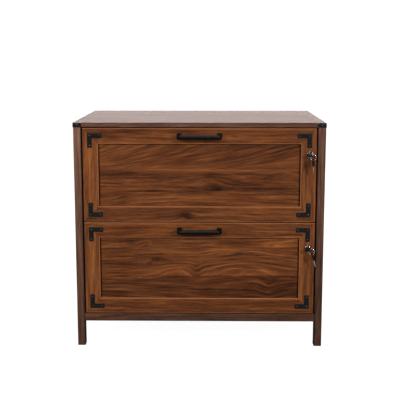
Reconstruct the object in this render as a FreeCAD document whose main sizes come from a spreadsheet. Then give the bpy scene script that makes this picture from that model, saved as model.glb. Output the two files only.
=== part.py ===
"""Lateral file cabinet with two locking drawers, drawn in millimetres.

The front faces -Y, +X is to the right and +Z is up. The origin lies on the floor,
in the middle of the cabinet's width and of its whole depth, handles included.
"""
import FreeCAD, Part
import math
import os
import re

import Sketcher
from FreeCAD import Placement, Rotation, Vector

# Driving dimensions
SIZES = {
    # Carcass boards
    "cabinet_width": 800,
    "cabinet_depth": 450,
    "cabinet_height": 737,
    "top_thickness": 15,
    "post_width": 25,
    "side_thickness": 15,
    "back_thickness": 6,
    "back_inset": 4,
    "back_tongue": 6,
    "leg_height": 84,
    "rail_height": 25,
    "rail_thickness": 15,
    "bottom_thickness": 15,
    "board_play": 0.1,
    "overrun": 2,
    # Drawer fronts: a panel with four mitred strips planted on it and a groove along them
    "front_gap": 3,
    "panel_thickness": 12,
    "frame_thickness": 8,
    "frame_width": 50,
    "shadow_gap_width": 3,
    "shadow_gap_depth": 3,
    # Dowels and the cam fittings that draw two boards together
    "dowel_diameter": 8,
    "dowel_length": 30,
    "dowel_in_top": 10,
    "dowel_in_side": 10,
    "dowel_inset": 60,
    "fit_play": 0.05,
    "end_play": 0.5,
    "disc_diameter": 15,
    "disc_depth": 9.5,
    "disc_inset": 24,
    "bolt_diameter": 6,
    "bolt_grip": 10,
    "top_fitting_spread": 240,
    "front_fitting_low": 50,
    "front_fitting_drop": 40,
    # Corner caps on the top board
    "cap_leg": 26,
    "cap_thickness": 1.2,
    "cap_nail_inset": 13,
    "cap_nail_head": 5,
    "cap_nail_rise": 1.5,
    "cap_nail_width": 2,
    "cap_nail_length": 8,
    # Corner brackets on the drawer fronts
    "bracket_inset": 16,
    "bracket_arm": 46,
    "bracket_width": 15,
    "bracket_thickness": 1.2,
    "bracket_corner_radius": 2,
    "bracket_screw_inset": 7.5,
    "bracket_screw_head": 6,
    "bracket_screw_rise": 2,
    "bracket_screw_width": 3,
    "bracket_screw_length": 8,
    # Handles
    "pull_projection": 32,
    "pull_centres": 128,
    "pull_diameter": 12,
    "pull_bend_radius": 10,
    "pull_foot_diameter": 20,
    "pull_foot_tip_diameter": 14,
    "pull_foot_height": 4,
    "pull_screw_head": 8,
    "pull_screw_rise": 2.5,
    "pull_screw_width": 4,
    "pull_screw_length": 30,
    # Drawer boxes
    "box_lift": 12,
    "box_headroom": 110,
    "box_rear_gap": 15,
    "box_side_thickness": 12,
    "box_back_thickness": 12,
    "box_bottom_thickness": 5,
    "box_bottom_lift": 10,
    "box_groove_depth": 6,
    # Telescopic slides with three nested steel channels
    "slide_thickness": 12.7,
    "slide_height": 45.7,
    "slide_setback": 3,
    "slide_end_gap": 2,
    "slide_middle_shortfall": 20,
    "slide_lift": 80,
    "slide_sheet": 1.2,
    "slide_race_gap": 0.3,
    "slide_outer_flange": 9,
    "slide_middle_offset": 4,
    "slide_middle_flange": 6.5,
    "slide_inner_flange": 6.2,
    "slide_screw_inset": 40,
    "slide_screw_head": 7,
    "slide_screw_rise": 1.6,
    "slide_screw_width": 3.5,
    "slide_screw_length": 9,
    # Steel frames that carry the hanging files
    "file_inset": 39,
    "file_headroom": 45,
    "file_rail_depth": 15,
    "file_rail_thickness": 3,
    "file_upright_width": 14,
    "file_upright_foot": 100,
    "file_sheet": 2,
    # Cam locks
    "lock_inset": 22,
    "lock_drop": 84,
    "bezel_diameter": 22,
    "bezel_tip_diameter": 19,
    "bezel_thickness": 2.5,
    "barrel_diameter": 16,
    "barrel_length": 26,
    "barrel_hole_play": 0.2,
    "nut_width": 22,
    "nut_thickness": 5,
    "plug_diameter": 11.2,
    "cam_play": 0.3,
    "cam_width": 12,
    "cam_reach": 32,
    "cam_tail": 7,
    "cam_thickness": 2,
    "cam_slot_depth": 10,
    "cam_slot_width": 5,
    "cam_slot_rise": 28,
    "cam_slot_drop": 8,
    "cam_screw_head": 9,
    "cam_screw_rise": 2.5,
    "cam_screw_width": 4,
    "cam_screw_length": 7,
    # Keys
    "key_head_width": 20,
    "key_head_length": 24,
    "key_head_thickness": 5,
    "key_head_corner": 4,
    "key_rim": 3.5,
    "key_slot_length": 6,
    "key_neck": 1.5,
    "key_blade_width": 7,
    "key_blade_length": 22,
    "key_blade_thickness": 2,
    "key_tip": 3,
    "key_notch_depth": 1.4,
    "key_notch_pitch": 3.5,
    "key_notch_start": 3,
    "keyway_play": 0.2,
    "ring_radius": 9,
    "ring_wire_diameter": 1.2,
    "hang_play": 0.3,
}

# Angles at which the spare keys hang, in degrees about the Y axis
HANG_TILT = {"upper": 0, "lower": -14}

# Counts
SLIDE_SCREWS = 3
KEY_NOTCHES = 4

# Radius and first sizes of a sketch before its own sizes are bound
ROUGH_SIZE = 1

# The least cosine between an edge and the direction that it is said to run along
NEARLY_ALONG = math.cos(math.radians(1))

# Sizes and places that follow from the driving dimensions
FOLLOWING = {
    "front_y": "(pull_projection - cabinet_depth) / 2",
    "back_y": "front_y + cabinet_depth",
    "half_width": "cabinet_width / 2",
    "opening_half": "half_width - post_width",
    "side_depth": "cabinet_depth - 2 * post_width",
    "top_under": "cabinet_height - top_thickness",
    "floor_z": "leg_height + rail_height",
    "back_front_y": "back_y - back_inset - back_thickness",
    "front_height": "(top_under - floor_z - 3 * front_gap) / 2",
    "front_half": "opening_half - front_gap",
    "lower_z": "floor_z + front_gap",
    "upper_z": "lower_z + front_height + front_gap",
    "box_y": "front_y + frame_thickness + panel_thickness",
    "box_outer": "opening_half - slide_thickness",
    "box_inner": "box_outer - box_side_thickness",
    "box_length": "back_front_y - box_y - box_rear_gap",
    "box_height": "front_height - box_lift - box_headroom",
    "front_fitting_high": "box_height - front_fitting_drop",
    "file_spacing": "box_length - box_back_thickness - 2 * file_inset",
    "file_rail_height": "front_height - box_lift - file_headroom",
    "slide_length": "box_length - slide_setback - slide_end_gap",
    "slide_middle_length": "slide_length - slide_middle_shortfall",
    "slide_middle_height": "slide_height - 2 * (slide_sheet + slide_race_gap)",
    "slide_inner_height": "slide_middle_height - 2 * (slide_sheet + slide_race_gap)",
    "slide_screw_step": "(slide_length - 2 * slide_screw_inset) / 2",
    "lock_x": "front_half - lock_inset",
    "plug_y": "front_y - bezel_thickness",
    "cam_y": "front_y + barrel_length + cam_play",
    "pull_bar_y": "front_y - pull_projection + pull_diameter / 2",
    "key_near": "0 - key_neck",
    "key_far": "key_near - key_head_length",
    "ring_y": "plug_y + key_far + key_rim + key_slot_length / 2",
    "ring_x": "lock_x + (key_head_width - key_rim) / 2",
    "wire_radius": "ring_wire_diameter / 2",
    "rim_reach": "sqrt(key_rim * key_rim + key_head_thickness * key_head_thickness) / 2",
    "ring_seat": "rim_reach + wire_radius + hang_play",
    "ring_drop": "ring_radius - ring_seat",
    "ring_inside": "ring_radius - wire_radius",
    "ring_inside_rise": "sqrt(ring_inside * ring_inside - key_head_thickness * key_head_thickness / 4)",
    "spare_lift": "ring_radius - ring_inside_rise + hang_play",
    "spare_z": "spare_lift - ring_drop - ring_radius + key_far + key_rim",
}

TURNS = {
    "x": Rotation(Vector(0, 1, 0), 90),
    "-x": Rotation(Vector(0, 1, 0), -90),
    "y": Rotation(Vector(1, 0, 0), -90),
    "-y": Rotation(Vector(1, 0, 0), 90),
    "z": Rotation(),
    "-z": Rotation(Vector(1, 0, 0), 180),
}
OPPOSITE = {"x": "-x", "-x": "x", "y": "-y", "-y": "y", "z": "-z", "-z": "z"}
SIDES = {"left": -1, "right": 1}
DRAWERS = ("upper", "lower")

document = FreeCAD.newDocument("lateral_file_cabinet")
nodes = []


def fill_sheet():
    """Put the driving dimensions in the spreadsheet, one row each, with their aliases."""
    sheet = document.addObject("Spreadsheet::Sheet", "Sizes")
    for row, (alias, number) in enumerate(SIZES.items(), start=1):
        sheet.set(f"A{row}", alias)
        sheet.set(f"B{row}", str(number))
        sheet.setAlias(f"B{row}", alias)
    document.recompute()


def formula(text):
    """Turn words into references to the sheet, and following sizes into their own sums."""
    def replace(match):
        word = match.group()
        if word in SIZES:
            return "Sizes." + word
        if word in FOLLOWING:
            return "(" + formula(FOLLOWING[word]) + ")"
        return word
    return re.sub(r"[a-z_]+", replace, str(text))


def bind(item, **formulas):
    for path, text in formulas.items():
        item.setExpression(path, formula(text))
    return item


def place(item, at, turn=None):
    item.Placement = Placement(Vector(), turn or Rotation())
    for axis, text in zip("xyz", at):
        item.setExpression("Placement.Base." + axis, formula(text))
    return item


def box(name, size, at):
    item = document.addObject("Part::Box", name)
    bind(item, Length=size[0], Width=size[1], Height=size[2])
    return place(item, at)


def cylinder(name, radius, length, at, axis="z"):
    item = document.addObject("Part::Cylinder", name)
    bind(item, Radius=radius, Height=length)
    return place(item, at, TURNS[axis])


def fuse(name, items):
    item = document.addObject("Part::MultiFuse", name)
    item.Shapes = items
    item.Refine = True
    return item


def cut(name, base, tools):
    if not tools:
        return base
    item = document.addObject("Part::Cut", name)
    item.Base = base
    item.Tool = tools[0] if len(tools) == 1 else fuse(name + "_cutters", tools)
    return item


def compound(name, items):
    item = document.addObject("Part::Compound", name)
    item.Links = items
    return item


def node(label, item):
    """Name a finished piece, or a group of like pieces, as one file of the assembly."""
    item.Label = label
    nodes.append(item)
    return item


def along(at, axis, text):
    """The place that lies the given distance from another along an axis such as -y."""
    sign = "-" if axis.startswith("-") else "+"
    index = "xyz".index(axis[-1])
    return tuple(f"{part} {sign} ({text})" if i == index else part for i, part in enumerate(at))


def outline(body, role, corners):
    """A closed sketch on one of the body's own planes, each corner held by two sizes."""
    plane = next(item for item in body.Origin.OriginFeatures if item.Role == role)
    sketch = body.newObject("Sketcher::SketchObject", body.Name + "_outline")
    sketch.AttachmentSupport = [(plane, "")]
    sketch.MapMode = "FlatFace"
    count = len(corners)
    turns = [2 * math.pi * index / count for index in range(count)]
    rough = [Vector(math.cos(turn), math.sin(turn), 0) * ROUGH_SIZE for turn in turns]
    for index in range(count):
        sketch.addGeometry(Part.LineSegment(rough[index], rough[(index + 1) % count]), False)
    for index in range(count):
        sketch.addConstraint(Sketcher.Constraint("Coincident", index, 2, (index + 1) % count, 1))
    for index, corner in enumerate(corners):
        for kind, line, text in (("DistanceX", -2, corner[0]), ("DistanceY", -1, corner[1])):
            if text == "0":
                sketch.addConstraint(Sketcher.Constraint("PointOnObject", index, 1, line))
                continue
            size = Sketcher.Constraint(kind, -1, 1, index, 1, ROUGH_SIZE)
            number = sketch.addConstraint(size)
            sketch.setExpression(f"Constraints[{number}]", formula(text))
    return sketch


def plate(name, role, corners, thickness, midplane=False):
    """A body padded from a sketch of straight sides; pads on XZ_Plane grow towards -Y."""
    body = document.addObject("PartDesign::Body", name)
    pad = body.newObject("PartDesign::Pad", name + "_pad")
    pad.Profile = outline(body, role, corners)
    if midplane:
        pad.SideType = "Symmetric"
    bind(pad, Length=thickness)
    return body


def window(body, role, corners):
    """Cut a straight-sided hole right through a body that lies on both sides of its plane."""
    pocket = body.newObject("PartDesign::Pocket", body.Name + "_window")
    pocket.Profile = outline(body, role, corners)
    pocket.Type = "ThroughAll"
    pocket.SideType = "Symmetric"
    return body


def round_edges(body, direction, radius, is_chosen):
    """Fillet the edges that run along a direction and start at a place the test picks."""
    document.recompute()
    tip = body.Tip
    names = []
    for index, edge in enumerate(tip.Shape.Edges, start=1):
        start, end = (vertex.Point for vertex in edge.Vertexes)
        is_along = abs((end - start).normalize() * direction) > NEARLY_ALONG
        if is_along and is_chosen(start):
            names.append(f"Edge{index}")
    fillet = body.newObject("PartDesign::Fillet", body.Name + "_fillet")
    fillet.Base = (tip, names)
    bind(fillet, Radius=radius)
    return body


def screw(name, kind, at, out):
    """A domed head on the face at the given place, and a plain shank behind it."""
    head, rise = f"{kind}_head", f"{kind}_rise"
    radius = f"({head} * {head} / 4 + {rise} * {rise}) / (2 * {rise})"
    dome = document.addObject("Part::Sphere", name + "_dome")
    bind(dome, Radius=radius, Angle1=f"asin(1 - {rise} / ({radius}))")
    place(dome, along(at, OPPOSITE[out], f"{radius} - {rise}"), TURNS[out])
    shank = cylinder(name + "_shank", f"{kind}_width / 2", f"{kind}_length", at, OPPOSITE[out])
    return fuse(name, [dome, shank])


def screw_hole(name, kind, at, out):
    """The hole of a screw, open a little above the face that the screw's head sits on."""
    start = along(at, out, "overrun")
    length = f"{kind}_length + overrun + end_play"
    return cylinder(name, f"{kind}_width / 2 + fit_play", length, start, OPPOSITE[out])


def dowel(name, centre, axis):
    """A dowel centred on a place, and the hole for it."""
    start = along(centre, axis, "0 - dowel_length / 2")
    hole_start = along(centre, axis, "0 - dowel_length / 2 - end_play")
    pin = cylinder(name, "dowel_diameter / 2", "dowel_length", start, axis)
    hole = cylinder(name + "_hole", "dowel_diameter / 2 + fit_play",
                    "dowel_length + 2 * end_play", hole_start, axis)
    return pin, hole


def cam_fitting(name, face, out, bolt_axis):
    """A turned disc in a board's face, and the bolt that it pulls out of the next board.

    The face is the disc's centre on the board's face, out points away from that face
    and the bolt runs along bolt_axis across the joint between the two boards.
    """
    inward = OPPOSITE[out]
    centre = along(face, inward, "disc_depth / 2")
    bolt_length = "disc_inset + bolt_grip"
    pocket = cylinder(name + "_pocket", "disc_diameter / 2 + fit_play",
                      "disc_depth + end_play + overrun", along(face, out, "overrun"), inward)
    bore = cylinder(name + "_bore", "bolt_diameter / 2 + fit_play",
                    f"{bolt_length} + end_play", centre, bolt_axis)
    disc = cylinder(name + "_blank", "disc_diameter / 2", "disc_depth", face, inward)
    disc = cut(name + "_disc", disc, [bore])
    bolt = cylinder(name + "_bolt", "bolt_diameter / 2", bolt_length, centre, bolt_axis)
    return [disc, bolt], [pocket, bore]


def make_carcass():
    """Posts, sides, back, bottom, front rail and top, with their dowels and fittings."""
    holes = {label: [] for label in (
        "top_board", "bottom_board", "front_bottom_rail", "left_side_panel", "right_side_panel",
        "front_left_post", "front_right_post", "rear_left_post", "rear_right_post")}
    dowels = []
    fittings = []

    def add_dowel(centre, axis, labels):
        pin, hole = dowel(f"carcass_dowel_{len(dowels) + 1}", centre, axis)
        dowels.append(pin)
        for label in labels:
            holes[label].append(hole)

    for side, sign in SIDES.items():
        panel = f"{side}_side_panel"
        panel_x = f"{sign} * (opening_half + side_thickness / 2)"
        post_x = f"{sign} * (half_width - post_width / 2)"
        rail_x = f"{sign} * opening_half"
        bottom_x = f"{sign} * (opening_half - dowel_length / 2 + dowel_in_side)"
        ends = (("front", "front_y + post_width", "front_y + post_width / 2"),
                ("rear", "back_y - post_width", "back_y - post_width / 2"))
        for end, joint_y, post_y in ends:
            post = f"{end}_{side}_post"
            for z in ("floor_z + dowel_inset", "top_under - dowel_inset"):
                add_dowel((panel_x, joint_y, z), "y", (panel, post))
            add_dowel((post_x, post_y, "top_under + dowel_in_top - dowel_length / 2"), "z",
                      (post, "top_board"))
        add_dowel((rail_x, "front_y + rail_thickness / 2", "leg_height + rail_height / 2"), "x",
                  ("front_bottom_rail", f"front_{side}_post"))
        for end in (-1, 1):
            middle_y = f"(front_y + back_y) / 2 + {end} * (side_depth / 2 - dowel_inset)"
            add_dowel((bottom_x, middle_y, "floor_z - bottom_thickness / 2"), "x",
                      ("bottom_board", panel))
            face = (f"{sign} * opening_half",
                    f"(front_y + back_y) / 2 + {end} * top_fitting_spread / 2",
                    "top_under - disc_inset")
            out = "-x" if sign > 0 else "x"
            pieces, cutters = cam_fitting(f"top_fitting_{side}_{end + 2}", face, out, "z")
            fittings.extend(pieces)
            holes[panel].extend(cutters)
            holes["top_board"].append(cutters[1])

    caps, nails, nail_holes = make_corner_caps()
    holes["top_board"].extend(nail_holes)
    slides, slide_screws, slide_holes = make_outer_slides()
    for side in SIDES:
        holes[f"{side}_side_panel"].extend(slide_holes[side])
    for drawer in DRAWERS:
        holes["right_side_panel"].append(lock_slot(drawer))

    blanks = {
        "top_board": box("top_blank", ("cabinet_width", "cabinet_depth", "top_thickness"),
                         ("0 - half_width", "front_y", "top_under")),
        "bottom_board": box(
            "bottom_blank",
            ("2 * opening_half", "back_front_y - front_y - rail_thickness", "bottom_thickness"),
            ("0 - opening_half", "front_y + rail_thickness", "floor_z - bottom_thickness")),
        "front_bottom_rail": box(
            "rail_blank", ("2 * opening_half", "rail_thickness", "rail_height"),
            ("0 - opening_half", "front_y", "leg_height")),
    }
    for side, sign in SIDES.items():
        panel_x = "opening_half" if sign > 0 else "0 - opening_half - side_thickness"
        post_x = "opening_half" if sign > 0 else "0 - half_width"
        groove_x = "opening_half - overrun" if sign > 0 else "0 - opening_half - back_tongue"
        groove = box(f"{side}_back_groove",
                     ("back_tongue + overrun", "back_thickness + 2 * board_play",
                      "top_under - leg_height + board_play + overrun"),
                     (groove_x, "back_front_y - board_play", "leg_height - board_play"))
        holes[f"rear_{side}_post"].append(groove)
        blanks[f"{side}_side_panel"] = box(
            f"{side}_side_blank", ("side_thickness", "side_depth", "top_under - leg_height"),
            (panel_x, "front_y + post_width", "leg_height"))
        for end, post_y in (("front", "front_y"), ("rear", "back_y - post_width")):
            blanks[f"{end}_{side}_post"] = box(
                f"{end}_{side}_post_blank", ("post_width", "post_width", "top_under"),
                (post_x, post_y, "0"))
    for label, cutters in holes.items():
        node(label, cut(label, blanks[label], cutters))
    node("back_panel", box(
        "back_panel",
        ("2 * (opening_half + back_tongue - board_play)", "back_thickness",
         "top_under - leg_height"),
        ("0 - opening_half - back_tongue + board_play", "back_front_y", "leg_height")))
    node("carcass_dowels", compound("carcass_dowels", dowels))
    node("top_board_fittings", compound("top_board_fittings", fittings))
    node("corner_caps", compound("corner_caps", caps))
    node("corner_cap_nails", compound("corner_cap_nails", nails))
    node("outer_slides", compound("outer_slides", slides))
    node("outer_slide_screws", compound("outer_slide_screws", slide_screws))


def make_corner_caps():
    """Black angle plates nailed round the two front corners of the top board."""
    caps, nails, holes = [], [], []
    nail_z = "top_under + top_thickness / 2"
    for side, sign in SIDES.items():
        corners = (
            (f"{-sign} * (0 - cap_thickness)", "0 - cap_thickness"),
            (f"{-sign} * cap_leg", "0 - cap_thickness"),
            (f"{-sign} * cap_leg", "0"),
            ("0", "0"),
            ("0", "cap_leg"),
            (f"{-sign} * (0 - cap_thickness)", "cap_leg"))
        blank = plate(f"{side}_cap_blank", "XY_Plane", corners, "top_thickness")
        place(blank, (f"{sign} * half_width", "front_y", "top_under"))
        out = "x" if sign > 0 else "-x"
        spots = (
            ((f"{sign} * (half_width - cap_nail_inset)", "front_y - cap_thickness", nail_z), "-y"),
            ((f"{sign} * (half_width + cap_thickness)", "front_y + cap_nail_inset", nail_z), out))
        cutters = []
        for number, (at, direction) in enumerate(spots, start=1):
            name = f"{side}_cap_nail_{number}"
            nails.append(screw(name, "cap_nail", at, direction))
            cutters.append(screw_hole(name + "_hole", "cap_nail", at, direction))
        caps.append(cut(f"{side}_cap", blank, cutters))
        holes.extend(cutters)
    return caps, nails, holes


def channel(name, side, offset, flange, height, length, y, z, opens_inward):
    """One steel channel of a slide, lying along Y against the given side of the cabinet.

    The offset is from the carcass side to the web's back, and the flanges point at the
    drawer where opens_inward is true, and otherwise at the carcass.
    """
    way = 1 if opens_inward else -1
    half = f"({height}) / 2"
    lip = f"{offset} + {way} * ({flange})"
    web = f"{offset} + {way} * slide_sheet"
    corners = [(offset, f"0 - {half}"), (lip, f"0 - {half}"), (lip, f"slide_sheet - {half}"),
               (web, f"slide_sheet - {half}"), (web, f"{half} - slide_sheet"),
               (lip, f"{half} - slide_sheet"), (lip, half), (offset, half)]
    body = plate(name, "XZ_Plane", corners, length)
    turn = Rotation() if side == "left" else Rotation(Vector(0, 1, 0), 180)
    return place(body, (f"{SIDES[side]} * opening_half", f"{y} + {length}", z), turn)


def slide_screw_set(name, side, offset, z, towards_drawer):
    """The screws of one slide member with their holes; heads stand on the web at offset."""
    sign = SIDES[side]
    out = "x" if (sign < 0) == towards_drawer else "-x"
    screws, holes = [], []
    for number in range(SLIDE_SCREWS):
        at = (f"{sign} * (opening_half - ({offset}))",
              f"box_y + slide_setback + slide_screw_inset + {number} * slide_screw_step", z)
        screws.append(screw(f"{name}_{number + 1}", "slide_screw", at, out))
        holes.append(screw_hole(f"{name}_{number + 1}_hole", "slide_screw", at, out))
    return screws, holes


def make_outer_slides():
    """The fixed members of the four slides, screwed to the carcass sides."""
    slides, screws = [], []
    holes = {side: [] for side in SIDES}
    for drawer in DRAWERS:
        z = f"{drawer}_z + slide_lift"
        for side in SIDES:
            name = f"{drawer}_{side}_outer_slide"
            blank = channel(name + "_blank", side, "0", "slide_outer_flange", "slide_height",
                            "slide_length", "box_y + slide_setback", z, True)
            set_screws, set_holes = slide_screw_set(name + "_screw", side, "slide_sheet", z, True)
            slides.append(cut(name, blank, set_holes))
            screws.extend(set_screws)
            holes[side].extend(set_holes)
    return slides, screws, holes


def lock_slot(drawer):
    """The slot in the right side panel, behind the post, that the lock's cam turns into."""
    lock_z = f"{drawer}_z + front_height - lock_drop"
    return box(f"{drawer}_lock_slot",
               ("cam_slot_depth + overrun", "cam_slot_width + overrun",
                "cam_slot_rise + cam_slot_drop"),
               ("opening_half - overrun", "front_y + post_width - overrun",
                f"{lock_z} - cam_slot_drop"))


def make_front(drawer):
    """The drawer front: a panel, four mitred strips, corner brackets, handle and lock.

    A narrow gap is cut in the panel beside the strips, at the top and the two sides.
    """
    z = f"{drawer}_z"
    lock_z = f"{z} + front_height - lock_drop"
    pull_z = f"{z} + front_height - frame_width / 2"
    brackets, bracket_screws, bracket_holes = make_brackets(drawer)

    pull_screws, pull_holes = [], []
    for side, sign in SIDES.items():
        at = (f"{sign} * pull_centres / 2", "box_y", pull_z)
        pull_screws.append(screw(f"{drawer}_{side}_pull_screw", "pull_screw", at, "y"))
        pull_holes.append(screw_hole(f"{drawer}_{side}_pull_hole", "pull_screw", at, "y"))
    lock_hole = cylinder(f"{drawer}_lock_hole", "barrel_diameter / 2 + barrel_hole_play",
                         "box_y - front_y + 2 * overrun",
                         ("lock_x", "front_y - overrun", lock_z), "y")

    frame_in = "2 * (front_half - frame_width)"
    frame_up = "front_height - 2 * frame_width"
    groove = cut(f"{drawer}_shadow_gap", box(
        f"{drawer}_shadow_gap_blank",
        (frame_in, "shadow_gap_depth + overrun", frame_up),
        ("frame_width - front_half", "front_y + frame_thickness - overrun",
         f"{z} + frame_width")), [box(
             f"{drawer}_shadow_gap_middle",
             (f"{frame_in} - 2 * shadow_gap_width", "shadow_gap_depth + 3 * overrun",
              f"{frame_up} + overrun - shadow_gap_width"),
             ("frame_width + shadow_gap_width - front_half",
              "front_y + frame_thickness - 2 * overrun",
              f"{z} + frame_width - overrun"))])

    fittings, side_cutters, panel_cutters = make_front_fittings(drawer)
    panel = box(f"{drawer}_panel_blank",
                ("2 * front_half", "panel_thickness", "front_height"),
                ("0 - front_half", "front_y + frame_thickness", z))
    node(f"{drawer}_front_panel",
         cut(f"{drawer}_front_panel", panel,
             pull_holes + [lock_hole, groove] + panel_cutters))

    inner = "front_half - frame_width"
    low, high = "frame_width", "front_height - frame_width"
    rails, stiles = [], []
    for name, edge, edge_in in (("bottom", "0", low), ("top", "front_height", high)):
        corners = (("0 - front_half", edge), ("front_half", edge),
                   (inner, edge_in), (f"0 - ({inner})", edge_in))
        rails.append(plate(f"{drawer}_{name}_frame_rail", "XZ_Plane", corners, "frame_thickness"))
    for side, sign in SIDES.items():
        corners = ((f"{sign} * front_half", "0"), (f"{sign} * front_half", "front_height"),
                   (f"{sign} * ({inner})", high), (f"{sign} * ({inner})", low))
        stiles.append(plate(f"{drawer}_{side}_stile", "XZ_Plane", corners, "frame_thickness"))
    for member in rails + stiles:
        place(member, ("0", "front_y + frame_thickness", z))
    node(f"{drawer}_frame_rails",
         cut(f"{drawer}_frame_rails", compound(f"{drawer}_rail_blanks", rails),
             bracket_holes + pull_holes))
    node(f"{drawer}_frame_stiles",
         cut(f"{drawer}_frame_stiles", compound(f"{drawer}_stile_blanks", stiles),
             bracket_holes + [lock_hole]))
    node(f"{drawer}_corner_brackets", compound(f"{drawer}_corner_brackets", brackets))
    node(f"{drawer}_bracket_screws", compound(f"{drawer}_bracket_screws", bracket_screws))
    node(f"{drawer}_handle", make_handle(drawer, pull_z, pull_holes))
    node(f"{drawer}_handle_screws", compound(f"{drawer}_handle_screws", pull_screws))
    node(f"{drawer}_front_fittings", compound(f"{drawer}_front_fittings", fittings))
    return side_cutters


def make_brackets(drawer):
    """Four flat angle brackets with three screws each, one near each corner of the front."""
    brackets, screws, holes = [], [], []
    arm_end = "bracket_arm - bracket_screw_inset"
    spots = (("bracket_screw_inset", "bracket_screw_inset"),
             (arm_end, "bracket_screw_inset"), ("bracket_screw_inset", arm_end))
    quarter_turns = {(-1, "bottom"): 0, (-1, "top"): 1, (1, "top"): 2, (1, "bottom"): 3}
    width = SIZES["bracket_width"]
    inner_corner = Vector(width, 0, width)

    def is_outer(point):
        return (point - inner_corner).Length > width / 2

    for (sign, level), quarters in quarter_turns.items():
        name = f"{drawer}_bracket_{quarters + 1}"
        x = f"{sign} * (front_half - bracket_inset)"
        z = f"{drawer}_z + bracket_inset"
        up = 1
        if level == "top":
            z = f"{drawer}_z + front_height - bracket_inset"
            up = -1
        corners = (("0", "0"), ("bracket_arm", "0"), ("bracket_arm", "bracket_width"),
                   ("bracket_width", "bracket_width"), ("bracket_width", "bracket_arm"),
                   ("0", "bracket_arm"))
        blank = plate(name + "_blank", "XZ_Plane", corners, "bracket_thickness")
        round_edges(blank, Vector(0, 1, 0), "bracket_corner_radius", is_outer)
        place(blank, (x, "front_y", z), Rotation(Vector(0, 1, 0), 90 * quarters))
        cutters = []
        for number, (dx, dz) in enumerate(spots, start=1):
            at = (f"{x} - {sign} * ({dx})", "front_y - bracket_thickness", f"{z} + {up} * ({dz})")
            screws.append(screw(f"{name}_screw_{number}", "bracket_screw", at, "-y"))
            cutters.append(screw_hole(f"{name}_hole_{number}", "bracket_screw", at, "-y"))
        brackets.append(cut(name, blank, cutters))
        holes.extend(cutters)
    return brackets, screws, holes


def make_handle(drawer, z, screw_holes):
    """A round bar bent back at both ends to flared feet, cast in one piece."""
    name = f"{drawer}_handle"
    radius = "pull_diameter / 2"
    bend_y = "pull_bar_y + pull_bend_radius"
    pieces = [cylinder(f"{name}_bar", radius, "pull_centres - 2 * pull_bend_radius",
                       ("pull_bend_radius - pull_centres / 2", "pull_bar_y", z), "x")]
    for side, sign in SIDES.items():
        foot_x = f"{sign} * pull_centres / 2"
        bend = document.addObject("Part::Torus", f"{name}_{side}_bend")
        bend.Angle3 = 90
        bind(bend, Radius1="pull_bend_radius", Radius2=radius)
        place(bend, (f"{foot_x} - {sign} * pull_bend_radius", bend_y, z),
              Rotation(Vector(0, 0, 1), 180 if sign < 0 else 270))
        leg = cylinder(f"{name}_{side}_leg", radius, f"front_y - ({bend_y})",
                       (foot_x, "front_y", z), "-y")
        foot = document.addObject("Part::Cone", f"{name}_{side}_foot")
        bind(foot, Radius1="pull_foot_diameter / 2", Radius2="pull_foot_tip_diameter / 2",
             Height="pull_foot_height")
        place(foot, (foot_x, "front_y", z), TURNS["-y"])
        pieces.extend([bend, leg, foot])
    return cut(name, fuse(f"{name}_casting", pieces), screw_holes)


def make_front_fittings(drawer):
    """Cam fittings that draw the drawer front onto the ends of the two box sides."""
    fittings, panel_cutters = [], []
    side_cutters = {side: [] for side in SIDES}
    for side, sign in SIDES.items():
        out = "-x" if sign > 0 else "x"
        for level in ("low", "high"):
            face = (f"{sign} * box_inner", "box_y + disc_inset",
                    f"{drawer}_z + box_lift + front_fitting_{level}")
            pieces, cutters = cam_fitting(f"{drawer}_{side}_{level}_fitting", face, out, "-y")
            fittings.extend(pieces)
            side_cutters[side].extend(cutters)
            panel_cutters.append(cutters[1])
    return fittings, side_cutters, panel_cutters


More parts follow.
